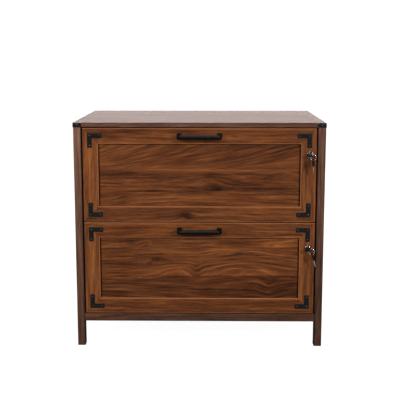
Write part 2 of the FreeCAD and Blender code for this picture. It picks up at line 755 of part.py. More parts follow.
def make_box(drawer, side_cutters):
    """The drawer box: two sides, back and bottom, with its slide members and file frames."""
    bottom_z = f"{drawer}_z + box_lift"
    slide_z = f"{drawer}_z + slide_lift"
    slides, screws = [], []
    for side, sign in SIDES.items():
        name = f"{drawer}_{side}_inner_slide"
        member = channel(name + "_blank", side, "slide_thickness", "slide_inner_flange",
                         "slide_inner_height", "slide_length", "box_y + slide_setback",
                         slide_z, False)
        set_screws, set_holes = slide_screw_set(
            name + "_screw", side, "slide_thickness - slide_sheet", slide_z, False)
        slides.append(cut(name, member, set_holes))
        screws.extend(set_screws)
        x = "box_inner" if sign > 0 else "0 - box_outer"
        groove_x = "box_inner - overrun" if sign > 0 else "0 - box_inner - box_groove_depth"
        blank = box(f"{drawer}_{side}_box_blank",
                    ("box_side_thickness", "box_length", "box_height"), (x, "box_y", bottom_z))
        groove = box(f"{drawer}_{side}_box_groove",
                     ("box_groove_depth + overrun", "box_length + 2 * overrun",
                      "box_bottom_thickness + 2 * board_play"),
                     (groove_x, "box_y - overrun", f"{bottom_z} + box_bottom_lift - board_play"))
        label = f"{drawer}_{side}_box_side"
        node(label, cut(label, blank, set_holes + side_cutters[side] + [groove]))
    node(f"{drawer}_box_back", box(
        f"{drawer}_box_back",
        ("2 * box_inner", "box_back_thickness",
         "box_height - box_bottom_lift - box_bottom_thickness"),
        ("0 - box_inner", "box_y + box_length - box_back_thickness",
         f"{bottom_z} + box_bottom_lift + box_bottom_thickness")))
    node(f"{drawer}_box_bottom", box(
        f"{drawer}_box_bottom",
        ("2 * (box_inner + box_groove_depth - board_play)", "box_length", "box_bottom_thickness"),
        ("board_play - box_inner - box_groove_depth", "box_y", f"{bottom_z} + box_bottom_lift")))
    node(f"{drawer}_inner_slides", compound(f"{drawer}_inner_slides", slides))
    node(f"{drawer}_inner_slide_screws", compound(f"{drawer}_inner_slide_screws", screws))
    node(f"{drawer}_file_frames", make_file_frames(drawer, bottom_z))
    middles = [channel(f"{drawer}_{side}_middle_slide", side, "slide_middle_offset",
                       "slide_middle_flange", "slide_middle_height", "slide_middle_length",
                       "box_y + slide_setback", slide_z, True) for side in SIDES]
    node(f"{drawer}_middle_slides", compound(f"{drawer}_middle_slides", middles))


def make_file_frames(drawer, bottom_z):
    """Two steel rails for hanging files, each hooked over the box sides at its two ends."""
    frames = []
    middle = "box_y + (box_length - box_back_thickness) / 2"
    top = f"{bottom_z} + file_rail_height"
    side_top = f"{bottom_z} + box_height"
    for name, way in (("front", -1), ("rear", 1)):
        y = f"{middle} + {way} * file_spacing / 2"
        upright_y = f"{y} - file_upright_width / 2"
        prefix = f"{drawer}_{name}_file"
        pieces = [box(f"{prefix}_rail", ("2 * box_inner", "file_rail_thickness", "file_rail_depth"),
                      ("0 - box_inner", f"{y} - file_rail_thickness / 2",
                       f"{top} - file_rail_depth"))]
        for side, sign in SIDES.items():
            upright_x = "box_inner - file_sheet" if sign > 0 else "0 - box_inner"
            hook_x = "box_inner - file_sheet" if sign > 0 else "0 - box_outer"
            pieces.append(box(f"{prefix}_{side}_upright",
                              ("file_sheet", "file_upright_width",
                               "file_rail_height - file_upright_foot"),
                              (upright_x, upright_y, f"{bottom_z} + file_upright_foot")))
            pieces.append(box(f"{prefix}_{side}_hook",
                              ("box_side_thickness + file_sheet", "file_upright_width",
                               "file_sheet"),
                              (hook_x, upright_y, side_top)))
        frames.append(fuse(f"{prefix}_frame", pieces))
    return compound(f"{drawer}_file_frames", frames)


def make_lock(drawer):
    """Barrel with chrome bezel and nut, turning plug, and cam with its screw."""
    name = f"{drawer}_lock"
    z = f"{drawer}_z + front_height - lock_drop"
    bezel = document.addObject("Part::Cone", f"{name}_bezel")
    bind(bezel, Radius1="bezel_diameter / 2", Radius2="bezel_tip_diameter / 2",
         Height="bezel_thickness")
    place(bezel, ("lock_x", "front_y", z), TURNS["-y"])
    barrel = cylinder(f"{name}_barrel", "barrel_diameter / 2", "barrel_length",
                      ("lock_x", "front_y", z), "y")
    plug_bore = cylinder(f"{name}_plug_bore", "plug_diameter / 2 + fit_play",
                         "bezel_thickness + barrel_length + 2 * overrun",
                         ("lock_x", "plug_y - overrun", z), "y")
    housing = cut(f"{name}_shell", fuse(f"{name}_shell_blank", [bezel, barrel]), [plug_bore])
    nut_blank = document.addObject("Part::Prism", f"{name}_nut_blank")
    bind(nut_blank, Circumradius="nut_width / sqrt(3)", Height="nut_thickness")
    place(nut_blank, ("lock_x", "box_y", z), TURNS["y"])
    nut_bore = cylinder(f"{name}_nut_bore", "barrel_diameter / 2 + fit_play",
                        "nut_thickness + 2 * overrun", ("lock_x", "box_y - overrun", z), "y")
    nut = cut(f"{name}_nut", nut_blank, [nut_bore])
    node(f"{name}_housing", compound(f"{name}_housing", [housing, nut]))

    plug_blank = cylinder(f"{name}_plug_blank", "plug_diameter / 2", "cam_y - plug_y",
                          ("lock_x", "plug_y", z), "y")
    keyway = box(f"{name}_keyway",
                 ("key_blade_width + 2 * keyway_play", "key_blade_length + overrun + end_play",
                  "key_blade_thickness + 2 * keyway_play"),
                 ("lock_x - key_blade_width / 2 - keyway_play", "plug_y - overrun",
                  f"{z} - key_blade_thickness / 2 - keyway_play"))
    cam_back = ("lock_x", "cam_y + cam_thickness", z)
    screw_bore = screw_hole(f"{name}_cam_screw_hole", "cam_screw", cam_back, "y")
    node(f"{name}_plug", cut(f"{name}_plug", plug_blank, [keyway, screw_bore]))

    half = "cam_width / 2"
    corners = ((f"0 - {half}", "0 - cam_tail"), (half, "0 - cam_tail"),
               (half, f"cam_reach - {half}"), (f"{half} / 2", "cam_reach"),
               (f"0 - {half} / 2", "cam_reach"), (f"0 - {half}", f"cam_reach - {half}"))
    cam_blank = plate(f"{name}_cam_blank", "XZ_Plane", corners, "cam_thickness")
    place(cam_blank, cam_back)
    cam = cut(f"{name}_cam_plate", cam_blank, [screw_bore])
    cam_screw = screw(f"{name}_cam_screw", "cam_screw", cam_back, "y")
    node(f"{name}_cam", compound(f"{name}_cam", [cam, cam_screw]))


def key_pieces(name):
    """Moulded head and notched blade of a key whose head points along -Y from its origin."""
    half, corner = "key_head_width / 2", "key_head_corner"
    head = plate(f"{name}_head", "XY_Plane", (
        (f"{corner} - {half}", "key_near"), (f"{half} - {corner}", "key_near"),
        (half, f"key_near - {corner}"), (half, f"key_far + {corner}"),
        (f"{half} - {corner}", "key_far"), (f"{corner} - {half}", "key_far"),
        (f"0 - {half}", f"key_far + {corner}"), (f"0 - {half}", f"key_near - {corner}")),
        "key_head_thickness", midplane=True)
    slot_half = f"{half} - key_rim"
    slot_far = "key_far + key_rim"
    window(head, "XY_Plane", (
        (f"0 - ({slot_half})", slot_far), (slot_half, slot_far),
        (slot_half, f"{slot_far} + key_slot_length"),
        (f"0 - ({slot_half})", f"{slot_far} + key_slot_length")))
    edge = "key_blade_width / 2"
    notches = []
    for number in range(KEY_NOTCHES):
        y = f"key_notch_start + {number} * key_notch_pitch"
        notches.extend([(edge, y), (f"{edge} - key_notch_depth", f"{y} + key_notch_pitch / 2")])
    blade = plate(f"{name}_blade", "XY_Plane", (
        (f"0 - {edge}", "key_near"), (edge, "key_near"), *notches,
        (edge, f"key_notch_start + {KEY_NOTCHES} * key_notch_pitch"),
        (edge, "key_blade_length - key_tip"), ("0", "key_blade_length"),
        (f"0 - {edge}", "key_blade_length - key_tip")),
        "key_blade_thickness", midplane=True)
    return [head, blade]


def make_keys(drawer):
    """The key in the lock, the wire ring through its head and the spare key on the ring."""
    z = f"{drawer}_z + front_height - lock_drop"
    key = compound(f"{drawer}_key", key_pieces(f"{drawer}_key"))
    node(f"{drawer}_key", place(key, ("lock_x", "plug_y", z)))

    hang = ("ring_x", "ring_y", z)
    tilt = Rotation(Vector(0, 1, 0), HANG_TILT[drawer])
    wire = document.addObject("Part::Torus", f"{drawer}_ring_wire")
    bind(wire, Radius1="ring_radius", Radius2="wire_radius")
    place(wire, ("0", "0", "0 - ring_drop"), Rotation(Vector(1, 0, 0), 90))
    ring = compound(f"{drawer}_key_ring", [wire])
    node(f"{drawer}_key_ring", place(ring, hang, tilt))

    head_up = Rotation(Vector(0, 1, 0), Vector(0, 0, -1), Vector(-1, 0, 0), "XYZ")
    pieces = key_pieces(f"{drawer}_spare_key")
    for piece in pieces:
        place(piece, ("0", "0", "spare_z"), head_up)
    spare = compound(f"{drawer}_spare_key", pieces)
    node(f"{drawer}_spare_key", place(spare, hang, tilt))


def check_document():
    """Stop if any object failed to rebuild or any piece has no valid solid."""
    for item in document.Objects:
        if "Invalid" in item.State or "Error" in item.State:
            raise RuntimeError(f"{item.Name} did not rebuild: {item.State}")
    for item in nodes:
        shape = item.Shape
        if shape.isNull() or not shape.isValid() or not shape.Solids:
            raise RuntimeError(f"{item.Label} has no valid solid")


def write_parts():
    os.makedirs("parts", exist_ok=True)
    for item in nodes:
        item.Shape.exportStep(f"parts/{item.Label}.step")
    print(len(nodes), "pieces or groups of pieces written")


fill_sheet()
make_carcass()
for name in DRAWERS:
    make_box(name, make_front(name))
    make_lock(name)
    make_keys(name)
document.recompute()
check_document()
write_parts()
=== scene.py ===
"""Looks of the lateral file cabinet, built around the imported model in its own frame, in metres.

The front faces -Y, +X is to the right and +Z is up. Sizes of the cabinet and its hardware are
written in millimetres, and MM turns them into metres.
"""
import math

import bmesh
import bpy
from mathutils import Matrix, Vector


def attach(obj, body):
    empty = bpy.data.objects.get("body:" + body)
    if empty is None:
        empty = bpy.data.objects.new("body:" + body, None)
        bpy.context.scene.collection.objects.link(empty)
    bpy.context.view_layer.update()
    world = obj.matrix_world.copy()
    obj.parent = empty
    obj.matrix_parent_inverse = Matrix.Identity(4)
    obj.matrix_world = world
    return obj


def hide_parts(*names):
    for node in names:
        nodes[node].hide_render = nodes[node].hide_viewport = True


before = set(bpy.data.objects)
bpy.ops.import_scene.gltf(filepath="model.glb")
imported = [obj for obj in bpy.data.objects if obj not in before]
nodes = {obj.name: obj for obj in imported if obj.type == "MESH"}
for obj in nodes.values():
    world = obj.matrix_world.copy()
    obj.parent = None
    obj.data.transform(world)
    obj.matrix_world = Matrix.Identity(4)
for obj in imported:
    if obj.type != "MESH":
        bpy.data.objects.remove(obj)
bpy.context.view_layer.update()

MM = 0.001

# Sizes of the cabinet, as in the solids
CASE_HALF = 400
CASE_HEIGHT = 737
TOP_THICKNESS = 15
FRONT = -209
FRONT_THICKNESS = 20
FRONT_HALF = 372
FRONT_HEIGHT = 302
LOCK_X = 350

# From the lower edge of a drawer front up to its handle and its lock
HANDLE_RISE = 277
LOCK_RISE = 218

# Each drawer: lower edge of its front, and swing of its spare key in degrees
DRAWERS = {"upper": (417, 0), "lower": (112, -14)}


# Node trees written as sums

# Sockets of a colour mix, which share their names with those of its other kinds
MIX_FIRST, MIX_SECOND, MIX_RESULT = 6, 7, 2


def linear(red, green, blue):
    """A colour as a screen shows it, from 0 to 255, turned linear by the sRGB curve."""
    def channel(value):
        share = value / 255
        return share / 12.92 if share <= 0.04045 else ((share + 0.055) / 1.055) ** 2.4
    return (channel(red), channel(green), channel(blue), 1)


class Shader:
    """A material whose nodes are made and joined by short calls."""

    def __init__(self, name):
        self.material = bpy.data.materials.new(name)
        self.material.use_nodes = True
        self.tree = self.material.node_tree
        self.tree.nodes.clear()
        self.surface = self.add("ShaderNodeBsdfPrincipled")
        self.end = self.add("ShaderNodeOutputMaterial")
        self.tree.links.new(self.surface.outputs[0], self.end.inputs["Surface"])
        self.place = self.add("ShaderNodeTexCoord").outputs["Object"]

    def add(self, kind, **settings):
        node = self.tree.nodes.new(kind)
        for key, value in settings.items():
            setattr(node, key, value)
        return node

    def feed(self, socket, value):
        """Link a socket to another one, or set it to a plain value."""
        if isinstance(value, bpy.types.NodeSocket):
            self.tree.links.new(value, socket)
        else:
            socket.default_value = value

    def set(self, **values):
        """Give the surface its inputs, named with underscores for spaces."""
        for key, value in values.items():
            self.feed(self.surface.inputs[key.replace("_", " ")], value)

    def sum(self, operation, *values, clamp=False):
        node = self.add("ShaderNodeMath", operation=operation, use_clamp=clamp)
        for socket, value in zip(node.inputs, values):
            self.feed(socket, value)
        return node.outputs[0]

    def vary(self, noise, amount, middle):
        """A value that noise moves to both sides of its middle."""
        return self.sum("MULTIPLY_ADD", noise, amount, middle)

    def spread(self, noise, contrast):
        """Noise brought into the range from 0 to 1."""
        return self.sum("MULTIPLY_ADD", noise, contrast, 0.5, clamp=True)

    def vector(self, operation, *values, out=0):
        node = self.add("ShaderNodeVectorMath", operation=operation)
        for socket, value in zip(node.inputs, values):
            self.feed(socket, value)
        return node.outputs[out]

    def split(self, vector):
        node = self.add("ShaderNodeSeparateXYZ")
        self.feed(node.inputs[0], vector)
        return node.outputs

    def join(self, *values):
        node = self.add("ShaderNodeCombineXYZ")
        for socket, value in zip(node.inputs, values):
            self.feed(socket, value)
        return node.outputs[0]

    def noise(self, vector, scale, detail, rough=0.5):
        """Noise about 0, from about -0.5 to 0.5, at a scale for each axis."""
        node = self.add("ShaderNodeTexNoise")
        self.feed(node.inputs["Vector"], self.vector("MULTIPLY", vector, scale))
        node.inputs["Scale"].default_value = 1
        node.inputs["Detail"].default_value = detail
        node.inputs["Roughness"].default_value = rough
        return self.sum("SUBTRACT", node.outputs[0], 0.5)

    def ramp(self, factor, *stops):
        node = self.add("ShaderNodeValToRGB")
        points = node.color_ramp.elements
        while len(points) < len(stops):
            points.new(0.5)
        for point, (place, colour) in zip(points, stops):
            point.position = place
            point.color = colour
        self.feed(node.inputs[0], factor)
        return node.outputs[0]

    def mix(self, factor, first, second, blend="MIX"):
        node = self.add("ShaderNodeMix", data_type="RGBA", blend_type=blend)
        self.feed(node.inputs[0], factor)
        self.feed(node.inputs[MIX_FIRST], first)
        self.feed(node.inputs[MIX_SECOND], second)
        return node.outputs[MIX_RESULT]

    def bump(self, height, strength, distance):
        node = self.add("ShaderNodeBump")
        node.inputs["Strength"].default_value = strength
        node.inputs["Distance"].default_value = distance
        self.feed(node.inputs["Height"], height)
        self.tree.links.new(node.outputs[0], self.surface.inputs["Normal"])


# Walnut print, with painted highlight and painted shade on some of its edges

WALNUT = {
    "front": [(0.0, linear(20, 9, 3)), (0.25, linear(46, 23, 10)), (0.5, linear(77, 41, 20)),
              (0.75, linear(106, 61, 30)), (1.0, linear(138, 86, 46))],
    "case": [(0.0, linear(28, 15, 9)), (0.3, linear(49, 30, 21)), (0.6, linear(75, 50, 39)),
             (1.0, linear(111, 81, 67))],
    # A lighter walnut for the fronts' rounded arrises: a painted highlight where they catch the
    # light
    "arris": [(0.0, linear(40, 22, 12)), (0.2, linear(94, 57, 35)), (0.55, linear(126, 79, 51)),
              (1.0, linear(156, 106, 74))],
    "box": [(0.0, linear(58, 36, 24)), (0.4, linear(92, 60, 40)), (0.7, linear(120, 82, 56)),
            (1.0, linear(146, 104, 74))],
}
PORE_COLOUR = linear(30, 17, 10)
COOL_TINT = (0.9, 0.97, 1.06, 1)
WARM_TINT = (1.1, 1.02, 0.86, 1)
LAMINATE_IOR = 1.48

# From one band to the next the print moves along, and by a share of that across
BAND_STEP = 0.37
BAND_SHIFT_SHARE = 3.1
# How far depth counts as width, so that lines run on over the edges of a board
DEPTH_SHARE = 0.7
LINE_SPACING = 0.017

# What bends the lines: scales along, across and in depth, detail, metres moved
BENDS = (((8, 28, 28), 2.5, 0.007), ((1.9, 7, 7), 1.5, 0.05))
# Layers of the print: scales along, across and in depth, detail, and roughness if not 0.5
LAYERS = {
    "patch": ((3.1, 21, 21), 2.0),
    "broad": ((1.3, 9, 9), 2.0),
    "streak": ((4.5, 52, 52), 2.5, 0.55),
    "thin": ((8, 140, 140), 4.0, 0.7),
    "fibre": ((40, 620, 620), 3.0, 0.6),
    "pore": ((70, 1500, 1500), 2.0),
    "warmth": ((2.3, 30, 30), 2.0),
}
# How much each layer adds to the tone, and how it shows elsewhere
BROAD_TONE = 0.32
LINE_TONE = 0.6
STREAK_TONE = 0.4
THIN_TONE = 1.2
FIBRE_TONE = 0.5
PATCH_CONTRAST = 3.0
WARMTH_CONTRAST = 1.6
PORE_CONTRAST = 6.0
PORE_THRESHOLD = 0.12
PORE_DARKNESS = 0.45
PORE_DEPTH = 0.6
FIBRE_HEIGHT = 0.5
GRAIN_ROUGHNESS = 0.07
GRAIN_HEIGHT = 0.0003


def banded(s, across, bands):
    """Lean and tone of the band at each point, and how far its print has moved."""
    lean, lift = bands[0][1:] if bands else (0.0, 0.0)
    step = 0.0
    for (_, last_slope, last_shade), (place, slope, shade) in zip(bands, bands[1:]):
        beyond = s.sum("GREATER_THAN", across, place)
        lean = s.sum("MULTIPLY_ADD", beyond, slope - last_slope, lean)
        lift = s.sum("MULTIPLY_ADD", beyond, shade - last_shade, lift)
        step = s.sum("MULTIPLY_ADD", beyond, BAND_STEP, step)
    return lean, lift, step


def fanned(s, length, across, width, fan):
    """Spread the lines beyond the place where a fan starts."""
    place, first_lean, growth, spread = fan
    height = s.sum("MAXIMUM", s.sum("SUBTRACT", across, place), 0.0)
    climb = s.sum("LOGARITHM", s.sum("MULTIPLY_ADD", height, growth / first_lean, 1.0), math.e)
    beyond = s.sum("GREATER_THAN", across, place)
    width = s.sum("SUBTRACT", width, height)
    width = s.sum("MULTIPLY_ADD", climb, spread / growth, width)
    return s.sum("MULTIPLY_ADD", s.sum("MULTIPLY", length, beyond), -spread, width)


def knotted(s, length, across, width, knots):
    """Lead the lines round each knot, and add up how much the knots darken the print."""
    dark = 0.0
    spot = s.join(length, across, 0.0)
    for k_along, k_across, k_length, k_width, rise, shadow in knots:
        offset = s.vector("SUBTRACT", spot, (k_along, k_across, 0))
        offset = s.vector("MULTIPLY", offset, (1 / k_length, 1 / k_width, 0))
        square = s.vector("DOT_PRODUCT", offset, offset, out=1)
        bell = s.sum("EXPONENT", s.sum("MULTIPLY", square, -1.0))
        if rise:
            width = s.sum("MULTIPLY_ADD", bell, -rise, width)
        if shadow:
            dark = s.sum("MULTIPLY_ADD", bell, shadow, dark)
    return width, dark


def edge_toned(s, value, axes, edges):
    """Add the tone of each edge, which grows with the distance from its middle."""
    for axis, middle, repeat, first, last, shade in edges:
        distance = s.sum("SUBTRACT", axes[axis], middle)
        if repeat:
            distance = s.sum("WRAP", distance, repeat, -repeat)
        distance = s.sum("ABSOLUTE", distance)
        near = s.sum("MULTIPLY_ADD", distance, 1 / (last - first), first / (first - last),
                     clamp=True)
        value = s.sum("MULTIPLY_ADD", near, shade, value)
    return value


def walnut(name, along, colours, seed, bands=(), knots=(), edges=(), fan=None, tone=0.0,
           contrast=1.0, rough=0.45, gloss=0.06, rings=0.1, depth_of_grain=0.25):
    """Laminate printed with walnut whose grain runs along X, Y or Z.

    Each band is (place where it starts, lean of its lines, tone); each knot is
    (place along, place across, half length, half width, rise of the lines, darkness).
    Above the place where a fan starts, lines leave at its first lean and grow steeper.
    Each edge is (axis, middle, half the distance at which it repeats, distance from the
    middle where its tone starts, distance where the tone is full, tone).
    """
    s = Shader(name)
    axes = s.split(s.place)
    x, y, z = axes
    length, across, depth = {"X": (x, z, y), "Z": (z, x, y), "Y": (y, x, z)}[along]
    lean, lift, step = banded(s, across, bands)
    run = s.sum("ADD", length, s.sum("ADD", step, seed))
    leaning = s.sum("MULTIPLY", length, lean)
    width = s.sum("SUBTRACT", s.sum("MULTIPLY_ADD", depth, DEPTH_SHARE, across), leaning)
    width = s.sum("ADD", width, s.sum("MULTIPLY", step, BAND_SHIFT_SHARE))
    if fan:
        width = fanned(s, length, across, width, fan)
    width, dark = knotted(s, length, across, width, knots)
    flat = s.join(run, width, depth)
    for scale, detail, moved in BENDS:
        width = s.vary(s.noise(flat, scale, detail), moved, width)
    flat = s.join(run, width, depth)

    layer = {kind: s.noise(flat, *settings) for kind, settings in LAYERS.items()}
    lines = s.sum("SINE", s.sum("MULTIPLY", width, 2 * math.pi / LINE_SPACING))
    lines = s.sum("MULTIPLY", lines, s.spread(layer["patch"], PATCH_CONTRAST))
    pore = s.sum("SUBTRACT", layer["pore"], PORE_THRESHOLD)
    pore = s.sum("MULTIPLY", pore, PORE_CONTRAST, clamp=True)

    value = s.vary(layer["broad"], BROAD_TONE * contrast, 0.5 + tone)
    value = s.sum("ADD", value, lift)
    value = s.vary(lines, -LINE_TONE * rings * contrast, value)
    value = s.vary(layer["streak"], STREAK_TONE * contrast, value)
    value = s.vary(layer["thin"], THIN_TONE * contrast, value)
    value = s.vary(layer["fibre"], FIBRE_TONE, value)
    value = s.sum("SUBTRACT", value, dark)
    colour = s.ramp(edge_toned(s, value, axes, edges), *colours)
    warmth = s.spread(layer["warmth"], WARMTH_CONTRAST)
    tint = s.ramp(warmth, (0.0, COOL_TINT), (1.0, WARM_TINT))
    colour = s.mix(1.0, colour, tint, "MULTIPLY")
    colour = s.mix(s.sum("MULTIPLY", pore, PORE_DARKNESS), colour, PORE_COLOUR)
    s.set(Base_Color=colour, IOR=LAMINATE_IOR, Specular_IOR_Level=gloss)
    s.set(Roughness=s.vary(s.sum("ADD", layer["fibre"], pore), GRAIN_ROUGHNESS, rough))
    raised = s.sum("MULTIPLY", layer["fibre"], FIBRE_HEIGHT)
    s.bump(s.vary(pore, -PORE_DEPTH, raised), depth_of_grain, GRAIN_HEIGHT)
    return s.material


# Other finishes

# Light that the floor gives off for the eye, and its share of what the eye sees there
FLOOR_GLOW = 1.42
FLOOR_GLOW_SHARE = 0.68
FLOOR_TONES = ((0.2, 0.2, 0.2, 1), (0.24, 0.24, 0.24, 1))

# Scales of steel's lines: alike in all directions, or fine across Y or across X
EVEN = (40, 40, 40)
FINE_ACROSS_Y = (14, 900, 14)
FINE_ACROSS_X = (900, 40, 40)


def black_steel(name, hammered=0.25, rough=0.34, shine=0.15, pale=1.0):
    """Black powder coat: satin, with the coat's fine orange peel and a little dust."""
    s = Shader(name)
    peel = s.noise(s.place, (900, 900, 900), detail=2.0)
    hammer = s.noise(s.place, (260, 260, 260), detail=1.0)
    dust = s.noise(s.place, (38, 38, 60), detail=4.0, rough=0.65)
    deep = linear(4 * pale, 4 * pale, 5 * pale)
    dusty = linear(13 * pale, 14 * pale, 15 * pale)
    s.set(Base_Color=s.ramp(s.spread(dust, contrast=0.6), (0.0, deep), (1.0, dusty)))
    s.set(Roughness=s.vary(dust, amount=0.2, middle=rough), Specular_IOR_Level=shine)
    s.bump(s.vary(hammer, amount=2.0, middle=peel), strength=hammered, distance=0.0003)
    return s.material


def steel(name, tint, rough, brush, scratch):
    """Plated steel with fine brush lines and faint stains."""
    s = Shader(name)
    line = s.noise(s.place, brush, detail=3.0, rough=0.6)
    stain = s.noise(s.place, (30, 30, 30), detail=4.0, rough=0.6)
    stained_share, least_rough = 0.82, 0.04
    stained = tuple(stained_share * part for part in tint) + (1,)
    clean = (*tint, 1)
    s.set(Base_Color=s.ramp(s.spread(stain, contrast=0.8), (0.0, stained), (1.0, clean)))
    grit = s.vary(line, scratch, s.vary(stain, amount=0.2, middle=rough))
    s.set(Roughness=s.sum("MAXIMUM", grit, least_rough), Metallic=1.0)
    s.bump(line, strength=0.08, distance=0.0002)
    return s.material


def black_plastic(name):
    """Moulded black plastic with a fine spark-eroded grain."""
    s = Shader(name)
    grain = s.noise(s.place, (1500, 1500, 1500), detail=2.0)
    wear = s.noise(s.place, (120, 120, 120), detail=3.0)
    fresh, worn = linear(2, 2, 3), linear(9, 9, 10)
    s.set(Base_Color=s.ramp(s.spread(wear, contrast=0.8), (0.0, fresh), (1.0, worn)))
    s.set(Roughness=s.vary(wear, amount=0.25, middle=0.38), Specular_IOR_Level=0.14)
    s.bump(grain, strength=0.2, distance=0.0002)
    return s.material


def beech(name):
    """Raw turned beech with its short flecks."""
    s = Shader(name)
    fleck = s.noise(s.place, (300, 300, 90), detail=3.0)
    dark, light = linear(176, 132, 88), linear(214, 176, 130)
    s.set(Base_Color=s.ramp(s.spread(fleck, contrast=1.2), (0.0, dark), (1.0, light)))
    s.set(Roughness=s.vary(fleck, amount=0.2, middle=0.7))
    s.bump(fleck, strength=0.2, distance=0.0003)
    return s.material


def floor_finish(name):
    """A pale floor lit from inside for the eye, so that it fades into the white backdrop."""
    s = Shader(name)
    mottle = s.noise(s.place, (3, 3, 3), detail=3.0)
    dark, light = FLOOR_TONES
    s.set(Base_Color=s.ramp(s.spread(mottle, contrast=0.5), (0.0, dark), (1.0, light)))
    s.set(Roughness=0.7)
    glow = s.add("ShaderNodeEmission")
    glow.inputs["Strength"].default_value = FLOOR_GLOW
    mix = s.add("ShaderNodeMixShader")
    seen = s.add("ShaderNodeLightPath").outputs["Is Camera Ray"]
    s.feed(mix.inputs[0], s.sum("MULTIPLY", seen, FLOOR_GLOW_SHARE))
    s.tree.links.new(s.surface.outputs[0], mix.inputs[1])
    s.tree.links.new(glow.outputs[0], mix.inputs[2])
    s.tree.links.new(mix.outputs[0], s.end.inputs["Surface"])
    return s.material


